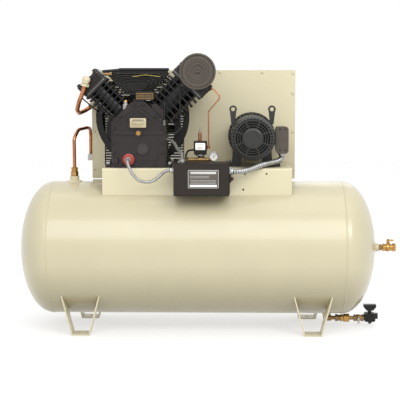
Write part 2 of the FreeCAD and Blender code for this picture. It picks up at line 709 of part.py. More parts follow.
def air_filter_housing():
    """Cup behind the filter element, screwed to the low-pressure head."""
    points = [(20, 0), (FILTER_R, 0), (FILTER_R, 30), (FILTER_R - 3, 30), (FILTER_R - 3, 3), (20, 3)]
    cup = turned(points, (FILTER_X, FILTER_BACK, FILTER_Z), (0, -1, 0))
    return cup.fuse(tube(20, 16, (FILTER_X, FILTER_BACK + 1, FILTER_Z), (FILTER_X, FILTER_BACK - 8, FILTER_Z)))


def air_filter_element():
    """Pleated filter ring."""
    corners = []
    for index in range(72):
        radius = 74 if index % 2 else 62
        angle = math.radians(index * 5)
        corners.append((FILTER_X + radius * math.cos(angle), FILTER_Z + radius * math.sin(angle)))
    element = prism_y(corners, FILTER_BACK - 28, FILTER_BACK - 4)
    return element.cut(disc_y(50, FILTER_X, FILTER_Z, FILTER_BACK - 40, FILTER_BACK))


def air_filter_cover():
    """Pressed lid with a raised rim, concentric ridges, two raised arc bars and a wing nut."""
    base = (FILTER_X, FILTER_BACK - 30, FILTER_Z)
    points = [(0, 0), (FILTER_R, 0), (FILTER_R, 11), (FILTER_R - 4, 14), (FILTER_R - 8, 14), (FILTER_R - 11, 9),
              (50, 9), (49, 12), (45, 12), (44, 9), (38, 9), (37, 11.5), (33, 11.5), (32, 9), (27, 9), (25, 5),
              (13, 5), (11, 9), (0, 9)]
    lid = turned(points, base, (0, -1, 0))
    front = FILTER_BACK - 39
    parts = [lid]
    for turn in (45, 225):
        arc = ring_y(67, 57, FILTER_X, FILTER_Z, front - 2, front + 1)
        for edge in (0, 90):
            trim = box((0, 200), (front - 5, front + 5), (-200, 0))
            trim.rotate(ORIGIN, Y_AXIS, -turn + 45 + edge * 3)
            trim.translate(Vector(FILTER_X, 0, FILTER_Z))
            arc = arc.cut(trim)
        parts.append(arc)
    stud = disc_y(5, FILTER_X, FILTER_Z, front - 9, front + 1)
    wing = rounded_box((FILTER_X - 12, FILTER_X + 12), (front - 6, front - 3), (FILTER_Z - 4, FILTER_Z + 4),
                       3, Y_AXIS)
    return joined(parts + [stud, wing])


def intercooler():
    """Intercooler between the banks: a finned core under a header bar, with arched tubes in front."""
    outline = [(-430, 1188), (-430, 1180), (-325, 1075), (-226, 1075), (-137, 1164.5), (-137, 1188)]
    core = prism_y(outline, 4, 40)
    bars = [rounded_box((-361, -133), (-10, 50), (1186, 1198), 3, X_AXIS),
            rod(7, (-439, 8, 1182), (-358, 8, 1189))]
    for index in range(9):
        level = 1086 + index * 11
        left = max(-426, -323 + 1075 - level)
        right = min(-137, -226 + level - 1075)
        bars.append(box((left, right), (-2, 46), (level, level + 3)))
    for index in range(4):
        shift = 14 * index
        top = 1172 - 10 * index
        left, right = 753 + shift, 1306 + shift
        foot = 1086 + 2 * index
        arch = pipe([(left - foot, 0, foot), (left - top, 0, top), (top - right, 0, top), (foot - right, 0, foot)],
                    4.6, 70)
        bars.append(arch)
    return joined([core] + bars)


def intercooler_fittings():
    """Brass hexagon fittings and a thin drain tube of the intercooler."""
    left = rod(6.5, (-394, -14, 1170), (-433.5, -14, 1170)).fuse(hex_bar(16, (-394, -14, 1170), (-1, 0, 0), 10))
    right = hex_bar(20, (-137, 20, 1164.5), X_AXIS, 3.8)
    drain = pipe([(-300, -7.4, 1158), (-240, -7.4, 1166), (-172, -7.4, 1158)], 2.6, 60)
    return [left, right, drain]


def discharge_elbow():
    """Cast elbow on the front of the high-pressure head, with a hexagon collar over its outlet."""
    mid = (-505, -72, 1144)
    neck = (-509.5, -74, 1127)
    dome = Part.makeSphere(19, Vector(*mid))
    spigot = rod(13, (-505, -49.2, 1144), mid)
    collar = hex_bar(34, neck, (-0.26, 0.01, -0.96), 13)
    body = joined([dome, spigot, rod(15, mid, neck), collar])
    return largest(body.cut(pipe_core(DISCHARGE_RUN, 10)))


def pipe_core(points, radius):
    """Full round bar along a pipe's path, for cutting the seat of the pipe."""
    return pipe(points, radius + 0.05, 45)


def discharge_stay():
    """Thin stay that steadies the discharge tube from the guard panel."""
    start, end = Vector(-530.5, -66.5, 1066), Vector(-478, 172, 992)
    stay = rod(3, tuple(start), tuple(end)).cut(pipe_core(DISCHARGE_RUN, 10))
    return largest(stay.cut(box((-600, -400), (PANEL_Y[0], 200), (900, 1100))))


def discharge_tube():
    """Copper tube from the high-pressure head round to the aftercooler."""
    return pipe(DISCHARGE_RUN, 10, 45, 8)


def aftercooler():
    """Elbow fitting and finned copper tube standing inside the guard."""
    low, high = COOLER_Z
    corner = (COOLER_X, 147, 1044)
    fitting = joined([rod(16, (-510, 134, 1016), corner), Part.makeSphere(17, Vector(*corner)),
                      rod(11, corner, (COOLER_X, 182, 1044))])
    fitting = largest(fitting.cut(pipe_core(DISCHARGE_RUN, 10)))
    riser = pipe([(COOLER_X, 182, 1044), (COOLER_X, COOLER_Y, 1044), (COOLER_X, COOLER_Y, high - 6)], 8, 20)
    points = [(0, low + 10), (8, low + 10)]
    for index in range(26):
        level = low + 20 + index * 8.6
        points += [(8, level), (17, level), (17, level + 1.6), (8, level + 1.6)]
    points += [(8, high - 6), (0, high - 6)]
    stack = turned(points, (COOLER_X, COOLER_Y, 0), Z_AXIS)
    foot = pipe([(COOLER_X, COOLER_Y, low + 10), (COOLER_X, COOLER_Y, low), (COOLER_X - 16, COOLER_Y, low)], 8, 11)
    return [fitting, riser, stack, foot]


def tank_inlet_tube():
    """Copper tube from the aftercooler back to the check valve, with its compression nuts."""
    x = -519.5
    points = [(INLET_X, 0, 738), (INLET_X - 1, 0, 875), (-556, 40, 914), (-526, 120, 920), (x, 190, 914),
              (x, COOLER_Y, 880), (x, COOLER_Y, 790)]
    nut = hex_bar(26, (x, COOLER_Y, 760), Z_AXIS, 30, 8)
    elbow = Part.makeSphere(11, Vector(x, COOLER_Y, COOLER_Z[0])).fuse(
        rod(10, (x, COOLER_Y, COOLER_Z[0]), (COOLER_X - 16, COOLER_Y, COOLER_Z[0])))
    return [pipe(points, 8, 40, 6.5), nut.cut(elbow), elbow.cut(rod(8, (x, COOLER_Y, 790), (x, COOLER_Y, 764)))]


def check_valve():
    """Brass check valve standing in the tank inlet, with a flange nut on top."""
    low = TANK_Z + TANK_R + 10
    spigot = rod(9.9, (INLET_X, 0, low - 20), (INLET_X, 0, low + 20))
    body = hex_bar(30, (INLET_X, 0, low + 15), Z_AXIS, 18)
    top = turned([(0, 0), (17, 0), (17, 4), (14, 6), (14, 14), (16.5, 16), (16.5, 20), (10, 24), (0, 24)],
                 (INLET_X, 0, low + 33), Z_AXIS)
    return joined([spigot, body, top]).cut(rod(8.05, (INLET_X, 0, 737), (INLET_X, 0, 760)))


def flywheel():
    """Six-spoke flywheel that also blows the pump cool, grooved for two V belts."""
    points = [(148, WHEEL_FRONT), (FLYWHEEL_R, WHEEL_FRONT)]
    points += groove_profile(FLYWHEEL_R)
    points += [(FLYWHEEL_R, WHEEL_BACK), (148, WHEEL_BACK)]
    rim = turned([(radius, -y) for radius, y in points], (CRANK_X, 0, CRANK_Z), (0, -1, 0))
    parts = [rim, disc_y(42, CRANK_X, CRANK_Z, WHEEL_FRONT, WHEEL_BACK + 4)]
    for index in range(6):
        spoke = rounded_box((-13, 13), (-24, 24), (34, 152), 10, Z_AXIS)
        spoke.rotate(ORIGIN, Z_AXIS, 28)
        spoke.rotate(ORIGIN, Y_AXIS, 30 + 60 * index)
        spoke.translate(Vector(CRANK_X, (WHEEL_FRONT + WHEEL_BACK) / 2, CRANK_Z))
        parts.append(spoke)
    return joined(parts).cut(disc_y(JOURNAL_R, CRANK_X, CRANK_Z, WHEEL_FRONT - 5, WHEEL_BACK + 10))


def groove_profile(radius):
    """Outline points of the two belt grooves in a rim of a given radius, as (radius, y)."""
    points = []
    mouth = GROOVE_ROOT_HALF + GROOVE_DEPTH * GROOVE_TAN
    for y in BELT_Y:
        points += [(radius, y - mouth), (radius - GROOVE_DEPTH, y - GROOVE_ROOT_HALF),
                   (radius - GROOVE_DEPTH, y + GROOVE_ROOT_HALF), (radius, y + mouth)]
    return points


def motor_pulley():
    """Two-groove motor pulley."""
    points = [(SHAFT_R, 184), (PULLEY_R, 184)] + groove_profile(PULLEY_R) + [(PULLEY_R, 235), (SHAFT_R, 235)]
    return turned([(radius, -y) for radius, y in points], (MOTOR_X, 0, MOTOR_Z), (0, -1, 0))


def belt(y):
    """One V belt: an arc round each wheel and two straight runs, clear of the groove walls."""
    clear = 0.4
    sections = []
    for wheel_r, pitch_r in ((FLYWHEEL_R, FLYWHEEL_PITCH_R), (PULLEY_R, PULLEY_PITCH_R)):
        inner, outer = pitch_r - 7, pitch_r + 4
        root = wheel_r - GROOVE_DEPTH
        narrow = GROOVE_ROOT_HALF + (inner - root) * GROOVE_TAN - clear
        wide = GROOVE_ROOT_HALF + (outer - root) * GROOVE_TAN - clear
        sections.append([(inner, y - narrow), (outer, y - wide), (outer, y + wide), (inner, y + narrow)])
    run = Vector(MOTOR_X - CRANK_X, 0, MOTOR_Z - CRANK_Z)
    lean = math.asin((FLYWHEEL_PITCH_R - PULLEY_PITCH_R) / run.Length)
    slope = math.atan2(-run.z, run.x)
    straight = run.Length * math.cos(lean)
    parts = []
    for centre, section, sign in ((Vector(CRANK_X, 0, CRANK_Z), sections[0], 1),
                                  (Vector(MOTOR_X, 0, MOTOR_Z), sections[1], -1)):
        wrap = math.pi + 2 * lean * sign
        corners = [Vector(0, py, radius) for radius, py in section]
        arc = Part.Face(Part.makePolygon(corners + corners[:1])).revolve(ORIGIN, Y_AXIS, -sign * math.degrees(wrap))
        arc.rotate(ORIGIN, Y_AXIS, math.degrees(slope + lean))
        arc.translate(centre)
        parts.append(arc)
    for side in (1, -1):
        corners = [Vector(0, py, side * radius) for radius, py in sections[0]]
        line = Part.Face(Part.makePolygon(corners + corners[:1])).extrude(Vector(straight, 0, 0))
        line.rotate(ORIGIN, Y_AXIS, math.degrees(slope + side * lean))
        line.translate(Vector(CRANK_X, 0, CRANK_Z))
        parts.append(line)
    return joined(parts)


def motor_frame():
    """Finned cylindrical motor frame on two cast feet."""
    front, back = MOTOR_FRAME
    parts = [disc_y(MOTOR_R, MOTOR_X, MOTOR_Z, front, back)]
    for index in range(36):
        fin = box((-2, 2), (front + 4, back), (MOTOR_R - 3, MOTOR_R + 7))
        fin.rotate(ORIGIN, Y_AXIS, index * 10)
        fin.translate(Vector(MOTOR_X, 0, MOTOR_Z))
        if not 140 < index * 10 < 220:
            parts.append(fin)
    for side in (-1, 1):
        x = sorted((MOTOR_X + side * 62, MOTOR_X + side * 128))
        parts.append(box(x, (front + 2, back + 4), (DECK_Z, DECK_Z + 13)))
        inner = MOTOR_X + side * 50
        outer = MOTOR_X + side * 86
        for y in (front + 8, 12, back - 14):
            web = prism_y([(inner, 770), (inner, 830), (outer, 850), (outer + side * 6, DECK_Z + 12),
                           (inner, DECK_Z + 12)], y, y + 7)
            parts.append(web)
    frame = joined(parts).cut(disc_y(MOTOR_R - 5, MOTOR_X, MOTOR_Z, front - 5, back + 5))
    for x, y in motor_bolt_points():
        frame = frame.cut(rod(5.5, (x, y, DECK_Z - 5), (x, y, DECK_Z + 20)))
    return largest(frame)


def motor_end_bells():
    """End bells that close the frame and hold the bearings."""
    front = turned([(35, 0), (97.3, 0), (97.3, -3), (97.3, 18), (88, 18), (70, 8), (35, 8)],
                   (MOTOR_X, -62, MOTOR_Z), (0, -1, 0))
    front = front.fuse(ring_y(42, 35, MOTOR_X, MOTOR_Z, -80, -62))
    back = turned([(35, 0), (110, 0), (110, 24), (102, 35), (60, 35), (50, 30), (35, 30)],
                  (MOTOR_X, 95, MOTOR_Z), Y_AXIS)
    return [front, back.cut(disc_y(SHAFT_R + 4, MOTOR_X, MOTOR_Z, 90, 140))]


def motor_fan_cover():
    """Fan cover: a drum whose face has three rings of curved slots, a hub disc and round edge vents."""
    depth = -62 - FAN_COVER_FRONT
    points = [(0, depth), (MOTOR_R - 12, depth), (MOTOR_R - 3, depth - 4), (MOTOR_R, depth - 13), (MOTOR_R, 0),
              (MOTOR_R - 2.5, 0), (MOTOR_R - 2.5, depth - 14), (MOTOR_R - 6, depth - 7),
              (MOTOR_R - 13, depth - 3), (0, depth - 3)]
    cover = turned(points, (MOTOR_X, -62, MOTOR_Z), (0, -1, 0))
    face = FAN_COVER_FRONT
    slots = []
    for inner in (48, 59, 70):
        band = ring_y(inner + 7, inner, 0, 0, face - 2, face + 6)
        for index in range(8):
            bar = box((-2.5, 2.5), (face - 4, face + 8), (inner - 5, inner + 12))
            bar.rotate(ORIGIN, Y_AXIS, 22.5 + 45 * index)
            band = band.cut(bar)
        slots.append(band)
    for index in range(36):
        angle = math.radians(index * 10 + 5)
        slots.append(disc_y(3.6, 86 * math.cos(angle), 86 * math.sin(angle), face - 4, face + 10))
    vents = Part.makeCompound(slots)
    vents.translate(Vector(MOTOR_X, 0, MOTOR_Z))
    cover = largest(cover.cut(vents))
    hub = turned([(0, 0), (44, 0), (44, 3), (38, 5), (0, 5)], (MOTOR_X, face, MOTOR_Z), (0, -1, 0))
    screws = []
    for angle in (30, 150, 270):
        x = MOTOR_X + 29 * math.cos(math.radians(angle))
        z = MOTOR_Z + 29 * math.sin(math.radians(angle))
        screws.append(turned([(0, 0), (4.5, 0), (4.5, 1.5), (2.5, 3), (0, 3)], (x, face - 5, z), (0, -1, 0)))
    return joined([cover, hub] + screws)


def motor_stator():
    """Wound stator pack pressed into the frame, with its end windings."""
    core = ring_y(MOTOR_R - 5.02, 60, MOTOR_X, MOTOR_Z, -32, 62)
    slots = []
    for index in range(24):
        slot = box((-2, 2), (-40, 70), (58, 72))
        slot.rotate(ORIGIN, Y_AXIS, 15 * index)
        slot.translate(Vector(MOTOR_X, 0, MOTOR_Z))
        slots.append(slot)
    core = core.cut(Part.makeCompound(slots))
    windings = [ring_y(88, 66, MOTOR_X, MOTOR_Z, -48, -32), ring_y(88, 66, MOTOR_X, MOTOR_Z, 62, 78)]
    return [core] + windings


def motor_rotor():
    """Rotor pack and its shaft."""
    pack = disc_y(59, MOTOR_X, MOTOR_Z, -32, 62)
    shaft = disc_y(SHAFT_R, MOTOR_X, MOTOR_Z, -122, 244)
    ends = [disc_y(50, MOTOR_X, MOTOR_Z, -40, -32), disc_y(50, MOTOR_X, MOTOR_Z, 62, 70)]
    return joined([pack, shaft] + ends)


def motor_fan():
    """Radial cooling fan behind the fan cover."""
    hub = disc_y(30, MOTOR_X, MOTOR_Z, -122, -92)
    back = disc_y(84, MOTOR_X, MOTOR_Z, -96, -92)
    parts = [hub, back]
    for index in range(9):
        blade = box((-1.5, 1.5), (-122, -94), (26, 84))
        blade.rotate(ORIGIN, Y_AXIS, 40 * index)
        blade.translate(Vector(MOTOR_X, 0, MOTOR_Z))
        parts.append(blade)
    return joined(parts).cut(disc_y(SHAFT_R, MOTOR_X, MOTOR_Z, -130, -85))


def motor_conduit_box():
    """Wiring box on the right of the motor frame, with a cable connector beneath."""
    body = rounded_box((MOTOR_X + 107.3, MOTOR_X + 160), (-100, 50), (814, 931), 14, Y_AXIS)
    body = body.cut(box((MOTOR_X + 110, MOTOR_X + 157), (-97, 47), (817, 928)))
    lid = rounded_box((MOTOR_X + 104, MOTOR_X + 163), (-103, -99), (811, 934), 15, Y_AXIS)
    boss = box((MOTOR_X + 99, MOTOR_X + 108), (-40, 30), (850, 910))
    boss = boss.cut(disc_y(MOTOR_R + 7.1, MOTOR_X, MOTOR_Z, -60, 60))
    bore = MOTOR_CONDUIT_R + SLIP
    connector = tube(16.5, bore, (387, -60, 798), (387, -60, 813.9))
    lock = hex_bar(36, (387, -60, 806), Z_AXIS, 7.5, bore)
    return [largest(joined([body, lid, boss])), connector.fuse(lock)]


def lifting_lugs():
    """Two lifting rings on tapered stems that stand on the shoulders of the motor frame."""
    lugs = []
    for side in (-1, 1):
        x, z = MOTOR_X + side * LUG_X, LUG_Z
        front, back = -66, MOTOR_FRAME[0] + 4
        stem = prism_y([(x - 15, z - 9), (x + 15, z - 9), (x + 8, z - 68), (x - 8, z - 68)], front, back)
        foot = box(sorted((x - side * 2, MOTOR_X + side * 55)), (front, back), (z - 72, z - 56))
        lug = joined([ring_y(17.5, LUG_HOLE_R, x, z, front, back), stem, foot])
        lug = lug.cut(disc_y(MOTOR_R + 0.1, MOTOR_X, MOTOR_Z, -80, -40))
        lugs.append(largest(lug.cut(disc_y(LUG_HOLE_R, x, z, -80, -40))))
    return lugs


def keyhole(front, back):
    """Opening of the guard panel: a circle over a rectangle."""
    circle = disc_y(HATCH_R, HATCH_X, HATCH_Z, front, back)
    return circle.fuse(box(HATCH_SIDES, (front, back), (HATCH_FOOT_Z, HATCH_Z)))


def cooler_notch():
    """Passage for the aftercooler pipe beside the opening."""
    return rod(13, (COOLER_X, 150, 1044), (COOLER_X, 190, 1044))


def guard_panel():
    """Front sheet of the belt guard with its keyhole opening and folded side edges."""
    sheet = box(PANEL_X, PANEL_Y, PANEL_Z)
    edges = [box((PANEL_X[0], PANEL_X[0] + SHEET), (PANEL_Y[0], PANEL_Y[1] + 14), PANEL_Z),
             box((PANEL_X[1] - SHEET, PANEL_X[1]), (PANEL_Y[0], PANEL_Y[1] + 14), PANEL_Z),
             box(PANEL_X, (PANEL_Y[0], PANEL_Y[1] + 14), (PANEL_Z[1] - SHEET, PANEL_Z[1]))]
    sheet = joined([sheet] + edges).cut(keyhole(PANEL_Y[0] - 5, PANEL_Y[1] + 5))
    return largest(sheet.cut(cooler_notch()).cut(disc_y(SHAFT_R + 8, MOTOR_X, MOTOR_Z, 160, 175)))


def guard_ring():
    """Rolled black shroud ring behind the opening."""
    ring = ring_y(226, 193, HATCH_X, HATCH_Z, PANEL_Y[1] + 3, PANEL_Y[1] + 8)
    lip = ring_y(226, 222.5, HATCH_X, HATCH_Z, PANEL_Y[1], PANEL_Y[1] + 4)
    ring = ring.fuse(lip).cut(cooler_notch())
    ring = ring.cut(box((-520, 0), (160, 190), (PANEL_Z[1] - 5, 1200)))
    return largest(ring.cut(box((-520, 0), (160, 190), (600, 790))))


def guard_rear_cover():
    """Deep rear tray of the guard with rows of pressed louvres behind the flywheel."""
    x = (PANEL_X[0] + SHEET + 0.5, PANEL_X[1] - SHEET - 0.5)
    z = (PANEL_Z[0] + 4, PANEL_Z[1] - SHEET - 0.5)
    front = PANEL_Y[1]
    tray = rounded_box(x, (front, COVER_BACK), z, 8, Y_AXIS)
    inner = rounded_box((x[0] + SHEET, x[1] - SHEET), (front - 1, COVER_BACK - SHEET),
                        (z[0] + SHEET, z[1] - SHEET), 7, Y_AXIS)
    tray = tray.cut(inner)
    tray = tray.cut(rod(11.5, (x[0] - 5, COOLER_Y, COOLER_Z[0]), (x[0] + 10, COOLER_Y, COOLER_Z[0])))
    hoods = []
    slots = []
    for row in range(36):
        level = 704 + row * 12.7
        for start in (-456, -260):
            slots.append(box((start + 4, start + 184), (COVER_BACK - 5, COVER_BACK + 1), (level - 2, level + 5)))
            hoods.append(louvre_hood(start, start + 188, level))
    return joined([tray.cut(Part.makeCompound(slots))] + hoods)


def louvre_hood(left, right, level):
    """Pressed hood that covers one slot and opens downwards."""
    back = COVER_BACK
    profile = [(back - 0.5, level + 8), (back + 6, level + 1), (back + 6, level - 1), (back + 4.4, level - 1),
               (back + 4.4, level), (back - 0.5, level + 5.4)]
    hood = prism([(left, y, z) for y, z in profile], (right - left, 0, 0))
    ends = []
    for x in (left, right - 2):
        cheek = [(back - 0.5, level + 8), (back + 6, level + 1), (back + 6, level - 1), (back - 0.5, level - 1)]
        ends.append(prism([(x, y, z) for y, z in cheek], (2, 0, 0)))
    return joined([hood] + ends)


def guard_foot_strip():
    """Folded strip that carries the guard's lower edge on the deck skirt."""
    x = (PANEL_X[0] + 2, 440)
    front = DECK_HALF_Y + 0.3
    strip = box(x, (front, 240), (658, 660))
    lip = box(x, (front, front + SHEET), (658, PANEL_Z[0] - 5))
    return largest(joined([strip, lip]).cut(tank_cylinder(TANK_R + 0.5)))


def starter_enclosure():
    """Back pan of the starter box, with cable holes in its top and bottom walls."""
    pan = rounded_box(BOX_X, (BOX_SPLIT_Y, BOX_Y[1]), BOX_Z, 4, Y_AXIS)
    inner = rounded_box((BOX_X[0] + SHEET, BOX_X[1] - SHEET), (BOX_SPLIT_Y - 1, BOX_Y[1] - SHEET),
                        (BOX_Z[0] + SHEET, BOX_Z[1] - SHEET), 3, Y_AXIS)
    return pan.cut(inner)


def starter_cover():
    """Deep front cover of the starter box with a slightly crowned, rounded face."""
    outer = rounded_box(BOX_X, (BOX_Y[0] + 6, BOX_SPLIT_Y), BOX_Z, 4, Y_AXIS)
    face = rounded_box((BOX_X[0] + 3, BOX_X[1] - 3), (BOX_Y[0], BOX_Y[0] + 7),
                       (BOX_Z[0] + 3, BOX_Z[1] - 3), 6, Y_AXIS)
    lips = rounded_box((BOX_X[0] - 2.5, BOX_X[1] + 2.5), (BOX_SPLIT_Y - 9, BOX_SPLIT_Y),
                       (BOX_Z[0] - 2.5, BOX_Z[1] + 2.5), 5, Y_AXIS)
    inner = rounded_box((BOX_X[0] + SHEET, BOX_X[1] - SHEET), (BOX_Y[0] + 6 + SHEET, BOX_SPLIT_Y + 1),
                        (BOX_Z[0] + SHEET, BOX_Z[1] - SHEET), 3, Y_AXIS)
    cover = joined([outer, face, lips]).cut(inner)
    right, left, roof = BOX_X[1], BOX_X[0], BOX_Z[1]
    for radius, (y, z) in ((MOTOR_CONDUIT_R + 1, MOTOR_ENTRY), (SUPPLY_R, SUPPLY_ENTRY), (8.6, RESET)):
        cover = cover.cut(rod(radius, (right - 10, y, z), (right + 10, y, z)))
    cover = cover.cut(rod(OIL_CONDUIT_R + 1, (left - 10, *OIL_ENTRY), (left + 10, *OIL_ENTRY)))
    cover = cover.cut(rod(11.3, (*CASE_ENTRY, roof - 10), (*CASE_ENTRY, roof + 10)))
    return cover.cut(rod(3, (left + 22, -250, roof - 10), (left + 22, -250, roof + 10)))


def starter_contactor():
    """Contactor and overload relay on the back of the starter box."""
    back = BOX_Y[1] - SHEET
    body = box((-40, 50), (back - 62, back), (672, 752))
    relay = box((-34, 44), (back - 50, back), (646, 673))
    parts = [body, relay, box((-26, 36), (back - 74, back - 61), (690, 734))]
    for x in (-30, -4, 22):
        for z in (657, 746):
            parts.append(disc_y(5, x + 5, z, back - 66, back - 40))
    return joined(parts)


def box_fittings():
    """Locknuts, bushings and the clip screw where conduits enter the starter box."""
    x, y = CASE_ENTRY
    roof = BOX_Z[1]
    bore = CASE_CONDUIT_R + SLIP
    top = joined([tube(15, bore, (x, y, roof), (x, y, roof + 6)), hex_bar(30, (x, y, roof + 6), Z_AXIS, 8, bore),
                  tube(11, bore, (x, y, roof - 8), (x, y, roof))])
    right = side_fitting(BOX_X[1], MOTOR_ENTRY, 1, 34, MOTOR_CONDUIT_R + SLIP)
    left = side_fitting(BOX_X[0], OIL_ENTRY, -1, 24, OIL_CONDUIT_R + SLIP)
    clip = hex_bolt((BOX_X[0] + 22, -250, roof), Z_AXIS, across=10, head=6, shank=2.8, grip=1.8)
    return [top, right, left, clip]


def side_fitting(x, entry, side, across, bore):
    """Locknut and bushing of a conduit on a side wall of the starter box."""
    y, z = entry
    sleeve = tube(across / 2 - 1, bore, (x + side * 7, y, z), (x + side * 17, y, z))
    return hex_bar(across, (x, y, z), (side, 0, 0), 8, bore).fuse(sleeve)


def reset_bezel():
    """Black bezel of the reset button on the right side of the starter box."""
    y, z = RESET
    wall = BOX_X[1]
    plate = rounded_box((wall, wall + 8), (y - 16, y + 16), (z - 16, z + 16), 5, X_AXIS)
    sleeve = tube(10, 8.35, (wall + 7, y, z), (wall + 13, y, z))
    return joined([plate, sleeve]).cut(rod(8.35, (wall - 1, y, z), (wall + 20, y, z)))


def reset_button():
    """Reset button that slides in its bezel."""
    return turned([(0, 0), (8, 0), (8, 22), (6.5, 24.5), (0, 25)], (BOX_X[1] - 6, *RESET), X_AXIS)


def pressure_switch():
    """Pressure switch: square housing and a round bell on its diaphragm."""
    body = rounded_box((-14, 42), (-130, -70), (809, 867), 6, Z_AXIS)
    lid = rounded_box((-15.5, 43.5), (-131.5, -68.5), (822, 868.5), 7, Z_AXIS)
    label = rounded_box((-10, 38), (-133, -131), (828, 862), 2, Y_AXIS)
    bell = turned([(0, 5.5), (9, 5.5), (13, 7), (21, 10), (21, 17), (0, 17)], (14, -100, 792), Z_AXIS)
    return joined([body, lid, label, bell])


def manifold():
    """Pipe manifold under the pressure switch, fed by a riser from the tank."""
    level = 784
    main = rod(9, (-40, -100, level), (62, -100, level))
    riser = rod(6.95, (RISER[0], RISER[1], 655), (RISER[0], RISER[1], 690)).fuse(
        rod(9, (RISER[0], RISER[1], 684), (RISER[0], RISER[1], 797.5)))
    tee = rod(13, (RISER[0] - 16, -100, level), (RISER[0] + 16, -100, level))
    elbow = Part.makeSphere(12, Vector(62, -100, 784)).fuse(rod(9, (62, -100, level), (75, -106, 801)))
    plug = hex_bar(18, (-40, -100, level), (-1, 0, 0), 12)
    post = rod(8, (RELIEF_FOOT.x, -100, level), (RELIEF_FOOT.x, RELIEF_FOOT.y, level))
    post = post.fuse(rod(9, (RELIEF_FOOT.x, RELIEF_FOOT.y, level - 6), tuple(RELIEF_FOOT)))
    nut = hex_bar(26, (RISER[0], RISER[1], 752), Z_AXIS, 12)
    stub = rod(9, (75, -106, 801), (75, -116, 801))
    return joined([main, riser, tee, elbow, plug, post, nut, stub])


def gauge_case():
    """Round pressure gauge case with a bezel, a dial face and a centre bearing for the needle."""
    back = GAUGE.y + 14
    points = [(0, 0), (18, 0), (21, 3), (22, 6), (22, 14), (19.5, 16), (19.5, 8), (0, 8)]
    case = turned(points, (GAUGE.x, back, GAUGE.z), (0, -1, 0))
    return case.cut(disc_y(0.85, GAUGE.x, GAUGE.z, back - 20, back - 5))


def gauge_needle():
    """Needle on its pin, resting at the low end of the scale."""
    face = GAUGE.y + 6
    pin = disc_y(0.8, GAUGE.x, GAUGE.z, face - 4, face + 1.5)
    hub = disc_y(2.4, GAUGE.x, GAUGE.z, face - 3, face - 1)
    pointer = prism([(0, face - 2.6, -6), (1.4, face - 2.6, 0), (0.3, face - 2.6, 15), (-0.3, face - 2.6, 15),
                     (-1.4, face - 2.6, 0)], (0, 1, 0))
    pointer.rotate(ORIGIN, Y_AXIS, 40)
    pointer.translate(Vector(GAUGE.x, 0, GAUGE.z))
    return joined([pin, hub, pointer])


def relief_valve():
    """Safety valve behind the pressure switch, hollow for the stem of its test ring."""
    base, bore = RELIEF_FOOT.z, 3.1
    points = [(bore, 0), (9, 0), (9, 12), (13, 14), (13, 22), (11, 24), (11, 58), (7.5, 60), (7.5, 90), (6, 93),
              (bore, 93)]
    body = turned(points, RELIEF_FOOT, Z_AXIS)
    return body.cut(rod(6, (RELIEF_FOOT.x, RELIEF_FOOT.y, base + 23), (RELIEF_FOOT.x, RELIEF_FOOT.y, base + 78)))


def relief_ring():
    """Stem and pull ring that lift the safety valve for a test."""
    x, y, base = RELIEF_FOOT
    stem = rod(3, (x, y, base + 30), (x, y, base + 99))
    foot = rod(5, (x, y, base + 30), (x, y, base + 34))
    ring = Part.makeTorus(9, 1.6, Vector(x, y, base + 108.5), X_AXIS)
    return joined([stem, foot, ring])


def unloader_lines():
    """Thin copper unloader tube from the pressure switch up to the low-pressure head, with its nut."""
    line = pipe([(51, -110, 842), (51, -110, 1003), (105, -110, 1065), (72, -112, 1106), (56, -105.2, 1096)], 3, 16)
    elbow = joined([hex_bar(12, (51, -110, 834), Z_AXIS, 14), rod(4, (43.5, -110, 840), (51, -110, 840))])
    return [line, elbow.cut(rod(3, (51, -110, 842), (51, -110, 900)))]


def motor_conduit():
    """Flexible conduit from the motor box to the starter box."""
    y, z = MOTOR_ENTRY
    points = [(387, -60, 804), (387, -60, 790), (368, -82, 777), (330, -122, 771), (294, -164, 767),
              (258, -196, 754), (222, -220, 743), (184, y, z), (150, y, z)]
    return pipe(points, MOTOR_CONDUIT_R, 60)


def oil_switch_conduit():
    """Flexible conduit from the oil level switch to the starter box."""
    x, z = OIL_SWITCH
    points = [(x, -186, z), (x, -214, z), (x + 4, -236, 768), (x + 22, -240, 730), (x + 50, -240, 700),
              (-222, -238, 690), (-184, -236, 700), (-156, -232, 728), (-134, *OIL_ENTRY), (-104, *OIL_ENTRY)]
    return pipe(points, OIL_CONDUIT_R, 40)


def control_cables():
    """Flexible conduit from the crankcase side and cable from the pressure switch to the starter box."""
    side = CRANK_X + CASE_HALF
    x, y = CASE_ENTRY
    case_conduit = pipe([(side + 1, -100, 875), (side + 16, -100, 875), (-104, -118, 862), (-86, -160, 832),
                         (x - 4, -208, 824), (x, y, 812), (x, y, 777)], CASE_CONDUIT_R, 40)
    gland = hex_bar(22, (side, -100, 875), X_AXIS, 10, CASE_CONDUIT_R + SLIP)
    switch_cable = pipe([(-15.5, -100, 828), (-34, -100, 828), (-46, -118, 820), (-50, -150, 804),
                         (-50, -176, 798), (-50, -184, 792), (-50, -184, 780.2)], SWITCH_CABLE_R, 30)
    return [case_conduit, gland, switch_cable]


def pipe_nipples():
    """Threaded nipples of the air outlet and of the drain line."""
    outlet = rod(9.95, (SHELL_HALF + HEAD_DEPTH - 8, 0, TANK_Z), (858, 0, TANK_Z))
    outlet = outlet.fuse(hex_bar(25, (838, 0, TANK_Z), X_AXIS, 14))
    first = rod(9, (DRAIN_X + 8, 0, DRAIN_Z), (643, 0, DRAIN_Z))
    second = rod(9, (704, 0, DRAIN_Z), (729, 0, DRAIN_Z))
    return [outlet, first, second]


